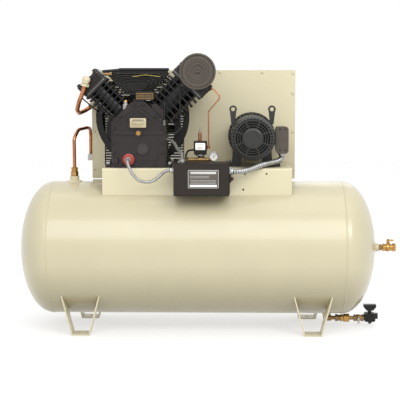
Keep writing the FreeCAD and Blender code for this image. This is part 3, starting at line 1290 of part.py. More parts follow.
def outlet_valve_body():
    """Brass ball valve body, open right through, with a hexagon at each end and a stem neck."""
    parts = [rod(15.5, (856, 0, TANK_Z), (916, 0, TANK_Z)), hex_bar(33, (902, 0, TANK_Z), X_AXIS, 14),
             hex_bar(31, (856, 0, TANK_Z), X_AXIS, 10), Part.makeSphere(19, Vector(880, 0, TANK_Z)),
             rod(8, (OUTLET_X, 0, TANK_Z), (OUTLET_X, 0, 396))]
    body = joined(parts)
    body = body.cut(rod(9.6, (896, 0, TANK_Z), (925, 0, TANK_Z))).cut(rod(10, (850, 0, TANK_Z), (858.1, 0, TANK_Z)))
    body = body.cut(rod(9.3, (857, 0, TANK_Z), (900, 0, TANK_Z)))
    body = body.cut(Part.makeSphere(13.2, Vector(OUTLET_X, 0, TANK_Z)))
    return body.cut(rod(4.05, (OUTLET_X, 0, TANK_Z), (OUTLET_X, 0, 400)))


def outlet_lever():
    """Ball and stem of the outlet valve, and the short lever clamped on the stem."""
    ball = Part.makeSphere(12.8, Vector(OUTLET_X, 0, TANK_Z)).cut(rod(8.5, (860, 0, TANK_Z), (905, 0, TANK_Z)))
    stem = rod(4, (OUTLET_X, 0, TANK_Z + 10.5), (OUTLET_X, 0, 399))
    hub = rod(8, (OUTLET_X, 0, 399), (OUTLET_X, 0, 406))
    lever = rounded_box((OUTLET_X - 8, OUTLET_X + 22), (-6, 6), (402, 405.5), 5, Z_AXIS)
    grip = rounded_box((OUTLET_X + 2, OUTLET_X + 24), (-8, 8), (401, 408), 2.5, X_AXIS)
    return [joined([ball, stem]), joined([hub, lever, grip, hex_bar(10, (OUTLET_X, 0, 405), Z_AXIS, 5)])]


def drain_fittings():
    """Drain elbow, ball valve body, union nut and tee along the drain line."""
    elbow = rod(15, (DRAIN_X, 0, DRAIN_Z), (DRAIN_X, 0, 48.9)).fuse(Part.makeSphere(15, Vector(DRAIN_X, 0, DRAIN_Z)))
    elbow = elbow.fuse(rod(14, (DRAIN_X, 0, DRAIN_Z), (DRAIN_X + 22, 0, DRAIN_Z)))
    elbow = elbow.fuse(rod(9.9, (DRAIN_X, 0, 50), (DRAIN_X, 0, 70)))
    elbow = elbow.cut(rod(9, (DRAIN_X + 8, 0, DRAIN_Z), (DRAIN_X + 30, 0, DRAIN_Z)))
    body = rod(14, (641, 0, DRAIN_Z), (677, 0, DRAIN_Z)).fuse(hex_bar(29, (641, 0, DRAIN_Z), X_AXIS, 11))
    body = body.fuse(hex_bar(29, (666, 0, DRAIN_Z), X_AXIS, 11)).cut(rod(9, (630, 0, DRAIN_Z), (643, 0, DRAIN_Z)))
    nut = hex_bar(34, (679, 0, DRAIN_Z), X_AXIS, 27).fuse(rod(10, (676, 0, DRAIN_Z), (680, 0, DRAIN_Z)))
    nut = nut.cut(rod(9, (704, 0, DRAIN_Z), (720, 0, DRAIN_Z)))
    x = DRAIN_VALVE_X
    valve = rod(14, (727, 0, DRAIN_Z), (775, 0, DRAIN_Z)).fuse(Part.makeSphere(17, Vector(x, 0, DRAIN_Z)))
    valve = valve.fuse(hex_bar(28, (727, 0, DRAIN_Z), X_AXIS, 9)).fuse(hex_bar(28, (762, 0, DRAIN_Z), X_AXIS, 13))
    valve = valve.fuse(rod(7, (x, -10, DRAIN_Z), (x, -22, DRAIN_Z)))
    valve = valve.cut(rod(3.05, (x, -10, DRAIN_Z), (x, -30, DRAIN_Z)))
    valve = valve.cut(rod(9, (720, 0, DRAIN_Z), (729, 0, DRAIN_Z)))
    return [elbow, body, nut, valve]


def drain_lever():
    """Small hanging lever of the drain valve with its stem."""
    x = DRAIN_VALVE_X
    stem = rod(3, (x, -11, DRAIN_Z), (x, -32, DRAIN_Z))
    hub = rod(7, (x, -24, DRAIN_Z), (x, -28, DRAIN_Z))
    arm = prism([(x - 6, -27, DRAIN_Z + 5), (x + 6, -27, DRAIN_Z + 5), (x + 4, -27, DRAIN_Z - 22),
                 (x - 4, -27, DRAIN_Z - 22)], (0, 2.5, 0))
    return joined([stem, hub, arm, hex_bar(9, (x, -27.5, DRAIN_Z), (0, -1, 0), 4)])


def drain_solenoid():
    """Automatic drain valve: coil housing, flared top block, side block and support legs."""
    coil = rounded_box((776, 826), (-22, 22), (24, 64), 8, Y_AXIS)
    neck = rod(9, (801, 0, 60), (801, 0, 80))
    top = prism_y([(786, 76), (816, 76), (830, 92), (830, 103), (772, 103), (772, 92)], -17, 17)
    side = rounded_box((824, 838), (-14, 14), (36, 62), 4, X_AXIS)
    knob = turned([(0, 0), (9, 0), (9, 3), (7, 5), (7, 10), (0, 11)], (812, -20, 50), (0, -1, 0))
    legs = [prism_y([(786, 28), (794, 28), (806, 12), (798, 12)], -6, 6),
            prism_y([(818, 28), (810, 28), (798, 12), (806, 12)], -6, 6)]
    return [joined([coil, neck, top, side, knob] + legs).cut(rod(10, (760, 0, DRAIN_Z), (775, 0, DRAIN_Z)))]


def make_all():
    """Write every node."""
    nodes = {
        "tank_shell": [tank_shell()],
        "tank_heads": tank_heads(),
        "tank_couplings": tank_couplings(),
        "tank_legs": tank_legs(),
        "base_platform": [base_platform()],
        "hex_bolts": hex_bolts(),
        "crankcase": [crankcase()],
        "crankcase_cover": [crankcase_cover()],
        "crankcase_plugs": crankcase_plugs(),
        "oil_sight_glass": [oil_sight_glass()],
        "oil_level_switch": oil_level_switch(),
        "crankcase_breather": [crankcase_breather()],
        "crankshaft": [crankshaft()],
        "shaft_bearings": shaft_bearings(),
        "connecting_rods": connecting_rods(),
        "pistons": pistons() + piston_rings(),
        "wrist_pins": wrist_pins(),
        "cylinders": [cylinder(bank) for bank in BANKS],
        "valve_plates": valve_plates(),
        "cylinder_heads": [head(bank) for bank in BANKS],
        "air_filter_housing": [air_filter_housing()],
        "air_filter_element": [air_filter_element()],
        "air_filter_cover": [air_filter_cover()],
        "intercooler": [intercooler(), discharge_stay()],
        "discharge_elbow": [discharge_elbow()],
        "discharge_tube": [discharge_tube()],
        "aftercooler": aftercooler(),
        "tank_inlet_tube": tank_inlet_tube(),
        "check_valve": [check_valve()],
        "flywheel": [flywheel()],
        "drive_belts": [belt(y) for y in BELT_Y],
        "motor_frame": [motor_frame()] + lifting_lugs(),
        "motor_end_bells": motor_end_bells(),
        "motor_fan_cover": [motor_fan_cover()],
        "motor_stator": motor_stator(),
        "motor_rotor": [motor_rotor()],
        "motor_fan": [motor_fan()],
        "motor_pulley": [motor_pulley()],
        "motor_conduit_box": motor_conduit_box(),
        "guard_panel": [guard_panel(), guard_foot_strip()],
        "guard_ring": [guard_ring()],
        "guard_rear_cover": [guard_rear_cover()],
        "starter_enclosure": [starter_enclosure(), reset_bezel()] + box_fittings(),
        "starter_cover": [starter_cover()],
        "starter_contactor": [starter_contactor()],
        "reset_button": [reset_button()],
        "pressure_switch": [pressure_switch()],
        "manifold": [manifold()],
        "gauge_case": [gauge_case()],
        "gauge_needle": [gauge_needle()],
        "relief_valve": [relief_valve()],
        "relief_ring": [relief_ring()],
        "unloader_lines": unloader_lines() + breather_tubes(),
        "wiring_conduits": [motor_conduit(), oil_switch_conduit()] + control_cables(),
        "pipe_nipples": pipe_nipples() + intercooler_fittings(),
        "outlet_valve_body": [outlet_valve_body()],
        "outlet_lever": outlet_lever(),
        "drain_fittings": drain_fittings(),
        "drain_lever": [drain_lever()],
        "drain_solenoid": drain_solenoid(),
    }
    for node, shapes in nodes.items():
        write(node, shapes)


os.makedirs("parts", exist_ok=True)
make_all()
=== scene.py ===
import json
import math
import random

import bmesh
import bpy
from mathutils import Matrix, Vector


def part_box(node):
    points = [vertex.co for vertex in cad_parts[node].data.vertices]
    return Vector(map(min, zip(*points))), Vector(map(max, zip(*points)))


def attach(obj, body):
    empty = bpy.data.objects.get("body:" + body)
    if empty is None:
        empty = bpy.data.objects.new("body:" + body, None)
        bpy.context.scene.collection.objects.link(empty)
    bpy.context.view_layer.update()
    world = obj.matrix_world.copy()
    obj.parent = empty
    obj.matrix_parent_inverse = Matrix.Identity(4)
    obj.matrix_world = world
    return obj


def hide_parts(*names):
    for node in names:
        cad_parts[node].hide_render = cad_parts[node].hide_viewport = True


# A two-stage V-twin air compressor on a horizontal receiver. Metres, in the frame's own axes.

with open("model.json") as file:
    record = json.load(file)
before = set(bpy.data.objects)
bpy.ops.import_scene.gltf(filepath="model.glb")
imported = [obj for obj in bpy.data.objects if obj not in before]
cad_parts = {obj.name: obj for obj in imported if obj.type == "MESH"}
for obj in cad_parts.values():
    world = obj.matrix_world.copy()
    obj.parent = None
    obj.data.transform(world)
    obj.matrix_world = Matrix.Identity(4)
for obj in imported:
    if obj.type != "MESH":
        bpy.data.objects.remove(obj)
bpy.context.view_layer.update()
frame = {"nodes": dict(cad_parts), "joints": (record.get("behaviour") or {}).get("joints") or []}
NODES = frame["nodes"]
JOINTS = {joint["name"]: joint for joint in frame["joints"]}
ROOT = "receiver"
random.seed(7)

Z_AXIS = Vector((0, 0, 1))
FRONT = Vector((0, -1, 0))


# ---------------------------------------------------------------- camera, light and floor

CAMERA_PLACE = (0.1309, -5.4332, 1.1399)
CAMERA_TURN_DEG = 1.2734
CAMERA_DIP_DEG = 5.7788
CAMERA_LENS_MM = 106.06
CAMERA_SENSOR_MM = 36
CAMERA_FAR = 100

FLOOR_HALF = 12
FLOOR_LEVEL = -0.0005
FLOOR_GREYS = ((0.40, 0.40, 0.40), (0.42, 0.42, 0.42))
FLOOR_GLOW = 0.55
WHITE = (1, 1, 1, 1)
SURROUND_STRENGTH = 1.02

# Soft lights: name, place, width and height, and power in watts.
LIGHTS = (
    ("softbox", (0.5, -4.3, 3.7), (6.5, 3.2), 190),
    ("key", (2.2, -3.6, 3.0), (1.8, 1.2), 26),
    ("top", (0.2, 0.2, 3.6), (3.2, 1.6), 16),
    ("back", (0.5, 3.6, 2.4), (3.0, 1.6), 12),
)
LIGHT_TARGET = (0, 0, 0.6)


def make_camera():
    """Camera at the front, a little above the tank, turned slightly left and down."""
    data = bpy.data.cameras.new("camera")
    data.lens = CAMERA_LENS_MM
    data.sensor_width = CAMERA_SENSOR_MM
    data.clip_end = CAMERA_FAR
    camera = bpy.data.objects.new("camera", data)
    camera.location = CAMERA_PLACE
    camera.rotation_euler = (math.radians(90 - CAMERA_DIP_DEG), 0, math.radians(CAMERA_TURN_DEG))
    bpy.context.scene.collection.objects.link(camera)
    bpy.context.scene.camera = camera


def make_floor():
    """Pale plain floor, with a glow of its own so that it meets the white surroundings without an edge."""
    mesh = bpy.data.meshes.new("floor")
    half = FLOOR_HALF
    corners = [(-half, -half, 0), (half, -half, 0), (half, half, 0), (-half, half, 0)]
    mesh.from_pydata(corners, [], [(0, 1, 2, 3)])
    floor = bpy.data.objects.new("floor", mesh)
    bpy.context.scene.collection.objects.link(floor)
    floor.location.z = FLOOR_LEVEL
    tree, shader = new_material("floor_paper")
    shader.inputs["Roughness"].default_value = 0.9
    shader.inputs["Specular IOR Level"].default_value = 0.1
    blend_colours(tree, noise(tree, 1.5, 2), *FLOOR_GREYS, shader.inputs["Base Color"])
    shader.inputs["Emission Color"].default_value = WHITE
    shader.inputs["Emission Strength"].default_value = FLOOR_GLOW
    floor.data.materials.append(bpy.data.materials["floor_paper"])


def area_light(name, place, size, power):
    """Soft rectangular light aimed at the machine."""
    data = bpy.data.lights.new(name, "AREA")
    data.shape = "RECTANGLE"
    data.size, data.size_y = size
    data.energy = power
    light = bpy.data.objects.new(name, data)
    light.location = place
    light.rotation_mode = "QUATERNION"
    light.rotation_quaternion = (Vector(place) - Vector(LIGHT_TARGET)).to_track_quat("Z", "Y")
    bpy.context.scene.collection.objects.link(light)


def make_light():
    """White surroundings and soft studio lights."""
    world = bpy.data.worlds.new("studio")
    bpy.context.scene.world = world
    world.use_nodes = True
    surround = world.node_tree.nodes["Background"]
    surround.inputs["Color"].default_value = WHITE
    surround.inputs["Strength"].default_value = SURROUND_STRENGTH
    for light in LIGHTS:
        area_light(*light)
    view = bpy.context.scene.view_settings
    view.view_transform = "Standard"
    view.look = "None"


# ---------------------------------------------------------------- materials

# Sockets of the Mix node that carry colours.
MIX_FIRST, MIX_SECOND, MIX_RESULT = 6, 7, 2
# The range that holds most values of a noise.
MIDDLE = (0.3, 0.7)
NOISE_ROUGHNESS = 0.55
# Share of open sky above which a place is in the open, and below which it is deep in a corner.
OPEN_SKY, CORNER_SKY = 0.9, 0.35
CORNER_SAMPLES = 6
EDGE_SAMPLES = 4
# Height of the outward direction where painted shade on undersides starts and where it is full.
UNDERSIDE_SHADE_START, UNDERSIDE_SHADE_FULL = -0.15, -0.85
COAT_ROUGHNESS = 0.12


def srgb(red, green, blue):
    """Linear colour of an sRGB colour given from 0 to 255."""
    linear = []
    for value in (red, green, blue):
        share = value / 255
        linear.append(share / 12.92 if share <= 0.04045 else ((share + 0.055) / 1.055) ** 2.4)
    return tuple(linear)


def scaled(colour, factor):
    """Colour made lighter or darker."""
    return tuple(min(1, channel * factor) for channel in colour)


def new_material(name):
    """Fresh node tree and its Principled shader."""
    made = bpy.data.materials.new(name)
    made.use_nodes = True
    tree = made.node_tree
    return tree, tree.nodes["Principled BSDF"]


def object_space(tree, stretch=(1, 1, 1)):
    """Texture coordinates fixed to the object, with an optional stretch for each axis."""
    coords = tree.nodes.new("ShaderNodeTexCoord")
    mapping = tree.nodes.new("ShaderNodeMapping")
    mapping.inputs["Scale"].default_value = stretch
    tree.links.new(coords.outputs["Object"], mapping.inputs["Vector"])
    return mapping.outputs["Vector"]


def noise(tree, scale, detail=3, stretch=(1, 1, 1)):
    """Noise value fixed to the object."""
    node = tree.nodes.new("ShaderNodeTexNoise")
    node.inputs["Scale"].default_value = scale
    node.inputs["Detail"].default_value = detail
    node.inputs["Roughness"].default_value = NOISE_ROUGHNESS
    tree.links.new(object_space(tree, stretch), node.inputs["Vector"])
    return node.outputs["Fac"]


def cells(tree, scale):
    """Random grey for each crystal-like cell."""
    node = tree.nodes.new("ShaderNodeTexVoronoi")
    node.inputs["Scale"].default_value = scale
    tree.links.new(object_space(tree), node.inputs["Vector"])
    split = tree.nodes.new("ShaderNodeSeparateColor")
    tree.links.new(node.outputs["Color"], split.inputs["Color"])
    return split.outputs["Red"]


def remap(tree, value, low, high, to_low=0.0, to_high=1.0):
    """Value stretched from one range to another, and clamped."""
    node = tree.nodes.new("ShaderNodeMapRange")
    tree.links.new(value, node.inputs["Value"])
    limits = {"From Min": low, "From Max": high, "To Min": to_low, "To Max": to_high}
    for socket, number in limits.items():
        node.inputs[socket].default_value = number
    return node.outputs["Result"]


def multiply(tree, first, second):
    """Product of two values."""
    node = tree.nodes.new("ShaderNodeMath")
    node.operation = "MULTIPLY"
    tree.links.new(first, node.inputs[0])
    tree.links.new(second, node.inputs[1])
    return node.outputs["Value"]


def blend_colours(tree, factor, first, second, target=None):
    """Mix of two colours, each a colour or a socket, by a factor."""
    node = tree.nodes.new("ShaderNodeMix")
    node.data_type = "RGBA"
    tree.links.new(factor, node.inputs["Factor"])
    for socket, colour in ((node.inputs[MIX_FIRST], first), (node.inputs[MIX_SECOND], second)):
        if isinstance(colour, tuple):
            socket.default_value = (*colour, 1)
        else:
            tree.links.new(colour, socket)
    if target is not None:
        tree.links.new(node.outputs[MIX_RESULT], target)
    return node.outputs[MIX_RESULT]


def tinted(tree, factor, base, dark, light):
    """A base colour that goes from a darker to a lighter shade of itself with a factor."""
    return blend_colours(tree, factor, scaled(base, dark), scaled(base, light))


def uneven_gloss(tree, shader, value, spread, rough, less, more):
    """Roughness that wanders a little below and above its usual value."""
    wandering = remap(tree, value, *spread, rough - less, rough + more)
    tree.links.new(wandering, shader.inputs["Roughness"])


def crevices(tree, reach):
    """1 deep in corners and 0 in the open."""
    node = tree.nodes.new("ShaderNodeAmbientOcclusion")
    node.samples = CORNER_SAMPLES
    node.inputs["Distance"].default_value = reach
    return remap(tree, node.outputs["AO"], OPEN_SKY, CORNER_SKY)


def facing_down(tree):
    """0 on walls and 1 on undersides, where the colour is darkened as painted shade."""
    coords = tree.nodes.new("ShaderNodeTexCoord")
    split = tree.nodes.new("ShaderNodeSeparateXYZ")
    tree.links.new(coords.outputs["Normal"], split.inputs["Vector"])
    return remap(tree, split.outputs["Z"], UNDERSIDE_SHADE_START, UNDERSIDE_SHADE_FULL)


def bump(tree, shader, heights, soften=0.0):
    """Surface relief from (height value, depth in metres) pairs, over edges softened by a small radius."""
    normal = None
    if soften:
        edge = tree.nodes.new("ShaderNodeBevel")
        edge.samples = EDGE_SAMPLES
        edge.inputs["Radius"].default_value = soften
        normal = edge.outputs["Normal"]
    for height, depth in heights:
        node = tree.nodes.new("ShaderNodeBump")
        node.inputs["Strength"].default_value = 1
        node.inputs["Distance"].default_value = depth
        tree.links.new(height, node.inputs["Height"])
        if normal is not None:
            tree.links.new(normal, node.inputs["Normal"])
        normal = node.outputs["Normal"]
    tree.links.new(normal, shader.inputs["Normal"])


def paint(name, colour, rough=0.34, coat=0.25, grain=(140, 0.00012), drift=0.05, corner_dirt_and_shade=0.35,
          soften=0.0012, dirt_and_shade=(70, 62, 48), reach=0.03, shine=0.5, underside_shade=0.0):
    """Enamel on metal, with drift of tone, a fine and a broad grain, dirty patches and painted shade in
    corners, and painted shade on undersides.
    """
    tree, shader = new_material(name)
    dirt_and_shade_tone = srgb(*dirt_and_shade)
    tone = remap(tree, noise(tree, 5, 3), *MIDDLE)
    body = tinted(tree, tone, srgb(*colour), 1 - drift, 1 + drift)
    # Painted shade in corners from an occlusion mask, broken into dirty patches; on the black and core
    # enamels the tone is lighter and reads as dust.
    patches = remap(tree, noise(tree, 24, 4), 0.25, 0.75, 0.25 * corner_dirt_and_shade, corner_dirt_and_shade)
    with_corner_dirt_and_shade = blend_colours(tree, multiply(tree, crevices(tree, reach), patches), body, dirt_and_shade_tone)
    # Painted shade on undersides: the colour darkens where the outward direction points down, by uneven
    # amounts.
    underside_shade_amount = remap(tree, noise(tree, 7, 3), 0.2, 0.8, 0.85 * underside_shade, underside_shade)
    below = multiply(tree, facing_down(tree), underside_shade_amount)
    blend_colours(tree, below, with_corner_dirt_and_shade, dirt_and_shade_tone, shader.inputs["Base Color"])
    uneven_gloss(tree, shader, noise(tree, 11, 4), (0.3, 0.75), rough, 0.05, 0.1)
    shader.inputs["Specular IOR Level"].default_value = shine
    shader.inputs["Coat Weight"].default_value = coat
    shader.inputs["Coat Roughness"].default_value = COAT_ROUGHNESS
    scale, depth = grain
    fine, broad = (noise(tree, scale, 2), depth), (noise(tree, 9, 2), depth * 2.5)
    bump(tree, shader, [fine, broad], soften)


def metal(name, colour, stain, rough=0.3, brushed=(1, 1, 1), stain_scale=30, stain_share=0.5,
          scratches=260, depth=0.00003):
    """Bare metal with stains, a directional or even grain and uneven gloss."""
    tree, shader = new_material(name)
    shader.inputs["Metallic"].default_value = 1
    tarnish = srgb(*stain)
    mottle = remap(tree, noise(tree, 60, 4), *MIDDLE)
    mottled = tinted(tree, mottle, srgb(*colour), 0.86, 1.1)
    stained = remap(tree, noise(tree, stain_scale, 5), 0.5, 0.72, 0, stain_share)
    shade = blend_colours(tree, stained, mottled, tarnish)
    patches = remap(tree, noise(tree, 40), 0.2, 0.8, 0.3, 0.8)
    corners = multiply(tree, crevices(tree, 0.012), patches)
    blend_colours(tree, corners, shade, scaled(tarnish, 0.45), shader.inputs["Base Color"])
    grain = noise(tree, scratches, 3, brushed)
    uneven_gloss(tree, shader, grain, (0.25, 0.75), rough, 0.08, 0.14)
    bump(tree, shader, [(grain, depth)], soften=0.0006)


def galvanised(name, colour=(188, 188, 184), rough=0.34):
    """Zinc-plated steel with faint crystals."""
    tree, shader = new_material(name)
    shader.inputs["Metallic"].default_value = 0.92
    crystal = tinted(tree, cells(tree, 420), srgb(*colour), 0.82, 1.08)
    dull = remap(tree, noise(tree, 45, 4), 0.45, 0.7, 0, 0.4)
    shade = blend_colours(tree, dull, crystal, srgb(128, 122, 108))
    # Painted shade: crevices are darkened to a dark grey by an occlusion mask.
    blend_colours(tree, crevices(tree, 0.006), shade, srgb(52, 48, 42), shader.inputs["Base Color"])
    uneven_gloss(tree, shader, noise(tree, 300, 2), MIDDLE, rough, 0.08, 0.1)
    bump(tree, shader, [(noise(tree, 700, 2), 0.00002)], soften=0.0005)


def plastic(name, colour, rough=0.45, drift=0.08, grain=(900, 0.00003), coat=0.0, shine=0.5):
    """Moulded plastic or rubber with a fine texture and handling marks."""
    tree, shader = new_material(name)
    tone = remap(tree, noise(tree, 35, 4), *MIDDLE)
    body = tinted(tree, tone, srgb(*colour), 1 - drift, 1 + drift)
    patches = remap(tree, noise(tree, 80), *MIDDLE, 0.1, 0.4)
    dust = multiply(tree, crevices(tree, 0.01), patches)
    blend_colours(tree, dust, body, srgb(110, 102, 90), shader.inputs["Base Color"])
    uneven_gloss(tree, shader, noise(tree, 60, 3), MIDDLE, rough, 0.07, 0.08)
    shader.inputs["Specular IOR Level"].default_value = shine
    shader.inputs["Coat Weight"].default_value = coat
    scale, depth = grain
    bump(tree, shader, [(noise(tree, scale, 2), depth)], soften=0.0006)


def clear_glass(name, share=0.1, rough=0.04):
    """Thin clear window with faint smears, seen mostly through."""
    tree, shader = new_material(name)
    smear = noise(tree, 60, 4)
    blend_colours(tree, smear, (0.9, 0.9, 0.9), (1, 1, 1), shader.inputs["Base Color"])
    uneven_gloss(tree, shader, smear, (0.4, 0.75), rough, 0, 0.12)
    tree.links.new(remap(tree, smear, 0.3, 0.8, 0.6 * share, share), shader.inputs["Alpha"])


def pleated_paper(name):
    """Oiled filter paper."""
    tree, shader = new_material(name)
    fibre = remap(tree, noise(tree, 900, 4, (1, 0.2, 1)), *MIDDLE)
    blend_colours(tree, fibre, srgb(196, 172, 118), srgb(226, 210, 160), shader.inputs["Base Color"])
    shader.inputs["Roughness"].default_value = 0.85
    bump(tree, shader, [(fibre, 0.00006)])


def make_materials():
    """Every finish on the machine."""
    # The enamels below get painted shade in corners, and the cream ones on undersides too; on the black
    # and core enamels the corner tone is lighter and stands for dust.
    paint("cream_enamel", (180, 172, 143), rough=0.36, coat=0.5, grain=(70, 0.00005), drift=0.02,
          corner_dirt_and_shade=0.16, dirt_and_shade=(104, 93, 60), reach=0.02, soften=0, underside_shade=0.5)
    # cream_panel is the tank cream made lighter, as painted light on the guard and platform, which sit in
    # shade behind the pump.
    paint("cream_panel", (193, 185, 155), rough=0.36, coat=0.2, grain=(90, 0.00010), drift=0.02,
          corner_dirt_and_shade=0.26, dirt_and_shade=(104, 93, 60), reach=0.02, soften=0.0014, underside_shade=0.4)
    paint("cream_casting", (190, 180, 148), rough=0.36, coat=0.2, grain=(330, 0.00022), drift=0.04,
          corner_dirt_and_shade=0.5, dirt_and_shade=(100, 90, 64), reach=0.012)
    paint("case_enamel", (33, 27, 26), rough=0.3, coat=0.06, grain=(260, 0.0003), drift=0.1, corner_dirt_and_shade=0.6,
          dirt_and_shade=(10, 9, 8), soften=0.0024, shine=0.34)
    paint("head_enamel", (34, 30, 28), rough=0.32, coat=0.06, grain=(300, 0.0003), drift=0.12, corner_dirt_and_shade=0.6,
          dirt_and_shade=(9, 8, 8), soften=0.0018, shine=0.3)
    paint("lid_enamel", (72, 65, 57), rough=0.32, coat=0.1, grain=(300, 0.0002), drift=0.08, corner_dirt_and_shade=0.7,
          dirt_and_shade=(16, 14, 12), soften=0.0014, shine=0.35)
    paint("fin_enamel", (20, 18, 17), rough=0.36, coat=0.04, grain=(340, 0.0003), drift=0.16, corner_dirt_and_shade=0.5,
          dirt_and_shade=(4, 4, 4), soften=0.0014, shine=0.28)
    paint("black_enamel", (18, 17, 16), rough=0.3, coat=0.06, grain=(160, 0.00012), drift=0.12, corner_dirt_and_shade=0.4,
          dirt_and_shade=(40, 36, 31), shine=0.3)
    paint("core_enamel", (17, 16, 15), rough=0.34, coat=0.05, grain=(300, 0.0002), drift=0.15, corner_dirt_and_shade=0.4,
          dirt_and_shade=(46, 41, 34), soften=0.0008, shine=0.3)
    paint("box_enamel", (37, 31, 26), rough=0.46, coat=0.0, grain=(620, 0.00016), drift=0.06, corner_dirt_and_shade=0.4,
          dirt_and_shade=(14, 12, 10), soften=0.0022, shine=0.22)
    paint("motor_enamel", (40, 40, 38), rough=0.34, coat=0.06, grain=(220, 0.00018), drift=0.1, corner_dirt_and_shade=0.5,
          dirt_and_shade=(9, 9, 9), soften=0.0012, shine=0.34)
    metal("copper_tube", (190, 124, 84), (104, 64, 40), rough=0.24, stain_scale=26, stain_share=0.6)
    metal("copper_valve", (186, 120, 84), (96, 58, 38), rough=0.32, stain_scale=50, stain_share=0.5)
    metal("brass_fitting", (188, 146, 84), (118, 88, 44), rough=0.28, stain_scale=55, stain_share=0.5)
    metal("olive_brass", (150, 140, 84), (84, 76, 44), rough=0.36, stain_scale=55, stain_share=0.5)
    metal("bronze_fitting", (150, 124, 84), (74, 58, 38), rough=0.38, stain_scale=60, stain_share=0.6)
    metal("turned_steel", (176, 174, 170), (110, 100, 88), rough=0.26, brushed=(1, 14, 1),
          stain_share=0.3)
    metal("cast_alloy", (190, 188, 182), (120, 114, 104), rough=0.42, scratches=420, depth=0.0001,
          stain_share=0.3)
    metal("grey_iron", (112, 110, 108), (70, 58, 46), rough=0.44, scratches=420, depth=0.00012,
          stain_share=0.4)
    galvanised("zinc_plate")
    galvanised("conduit_zinc", (172, 173, 172), rough=0.26)
    plastic("rubber_belt", (26, 26, 26), rough=0.62, grain=(500, 0.00008))
    plastic("black_moulding", (17, 16, 15), rough=0.36, shine=0.3)
    plastic("cable_jacket", (18, 18, 18), rough=0.4, shine=0.35)
    plastic("grey_jacket", (104, 102, 98), rough=0.4, coat=0.15)
    plastic("red_moulding", (158, 38, 30), rough=0.38, coat=0.1)
    plastic("button_brown", (74, 30, 24), rough=0.38, shine=0.35)
    plastic("sight_window", (24, 15, 11), rough=0.1, coat=0.8)
    plastic("white_card", (240, 239, 233), rough=0.5, drift=0.03)
    plastic("plate_gold", (172, 160, 126), rough=0.36, drift=0.06)
    plastic("label_silver", (178, 178, 174), rough=0.32, drift=0.05)
    plastic("label_field", (78, 70, 64), rough=0.42, drift=0.06)
    plastic("ink", (34, 34, 36), rough=0.5)
    clear_glass("gauge_glass")
    pleated_paper("filter_paper")


# Finish of each CAD node.
NODE_FINISH = {
    "tank_shell": "cream_enamel", "tank_heads": "cream_enamel", "tank_couplings": "cream_casting",
    "tank_legs": "cream_panel", "base_platform": "cream_panel", "hex_bolts": "case_enamel",
    "crankcase": "case_enamel", "crankcase_cover": "case_enamel", "crankcase_plugs": "case_enamel",
    "oil_sight_glass": "sight_window", "oil_level_switch": "red_moulding",
    "crankcase_breather": "black_enamel", "crankshaft": "turned_steel", "shaft_bearings": "turned_steel",
    "connecting_rods": "cast_alloy", "pistons": "cast_alloy", "wrist_pins": "turned_steel",
    "cylinders": "fin_enamel", "valve_plates": "grey_iron", "cylinder_heads": "head_enamel",
    "air_filter_housing": "black_enamel", "air_filter_element": "filter_paper",
    "air_filter_cover": "lid_enamel", "intercooler": "core_enamel", "discharge_elbow": "cream_casting",
    "discharge_tube": "copper_tube", "aftercooler": "copper_tube", "tank_inlet_tube": "copper_tube",
    "check_valve": "brass_fitting", "flywheel": "black_enamel", "drive_belts": "rubber_belt",
    "motor_frame": "motor_enamel", "motor_end_bells": "motor_enamel", "motor_fan_cover": "motor_enamel",
    "motor_stator": "core_enamel", "motor_rotor": "turned_steel", "motor_fan": "black_moulding",
    "motor_pulley": "grey_iron", "motor_conduit_box": "lid_enamel", "guard_panel": "cream_panel",
    "guard_ring": "black_enamel", "guard_rear_cover": "cream_panel", "starter_enclosure": "box_enamel",
    "starter_cover": "box_enamel", "starter_contactor": "black_moulding", "reset_button": "button_brown",
    "pressure_switch": "black_moulding", "manifold": "bronze_fitting", "gauge_case": "turned_steel",
    "gauge_needle": "ink", "relief_valve": "copper_valve", "relief_ring": "turned_steel",
    "unloader_lines": "copper_tube", "pipe_nipples": "bronze_fitting",
    "outlet_valve_body": "brass_fitting", "outlet_lever": "brass_fitting",
    "drain_fittings": "bronze_fitting", "drain_lever": "turned_steel", "drain_solenoid": "black_moulding",
    "wiring_conduits": "conduit_zinc",
}

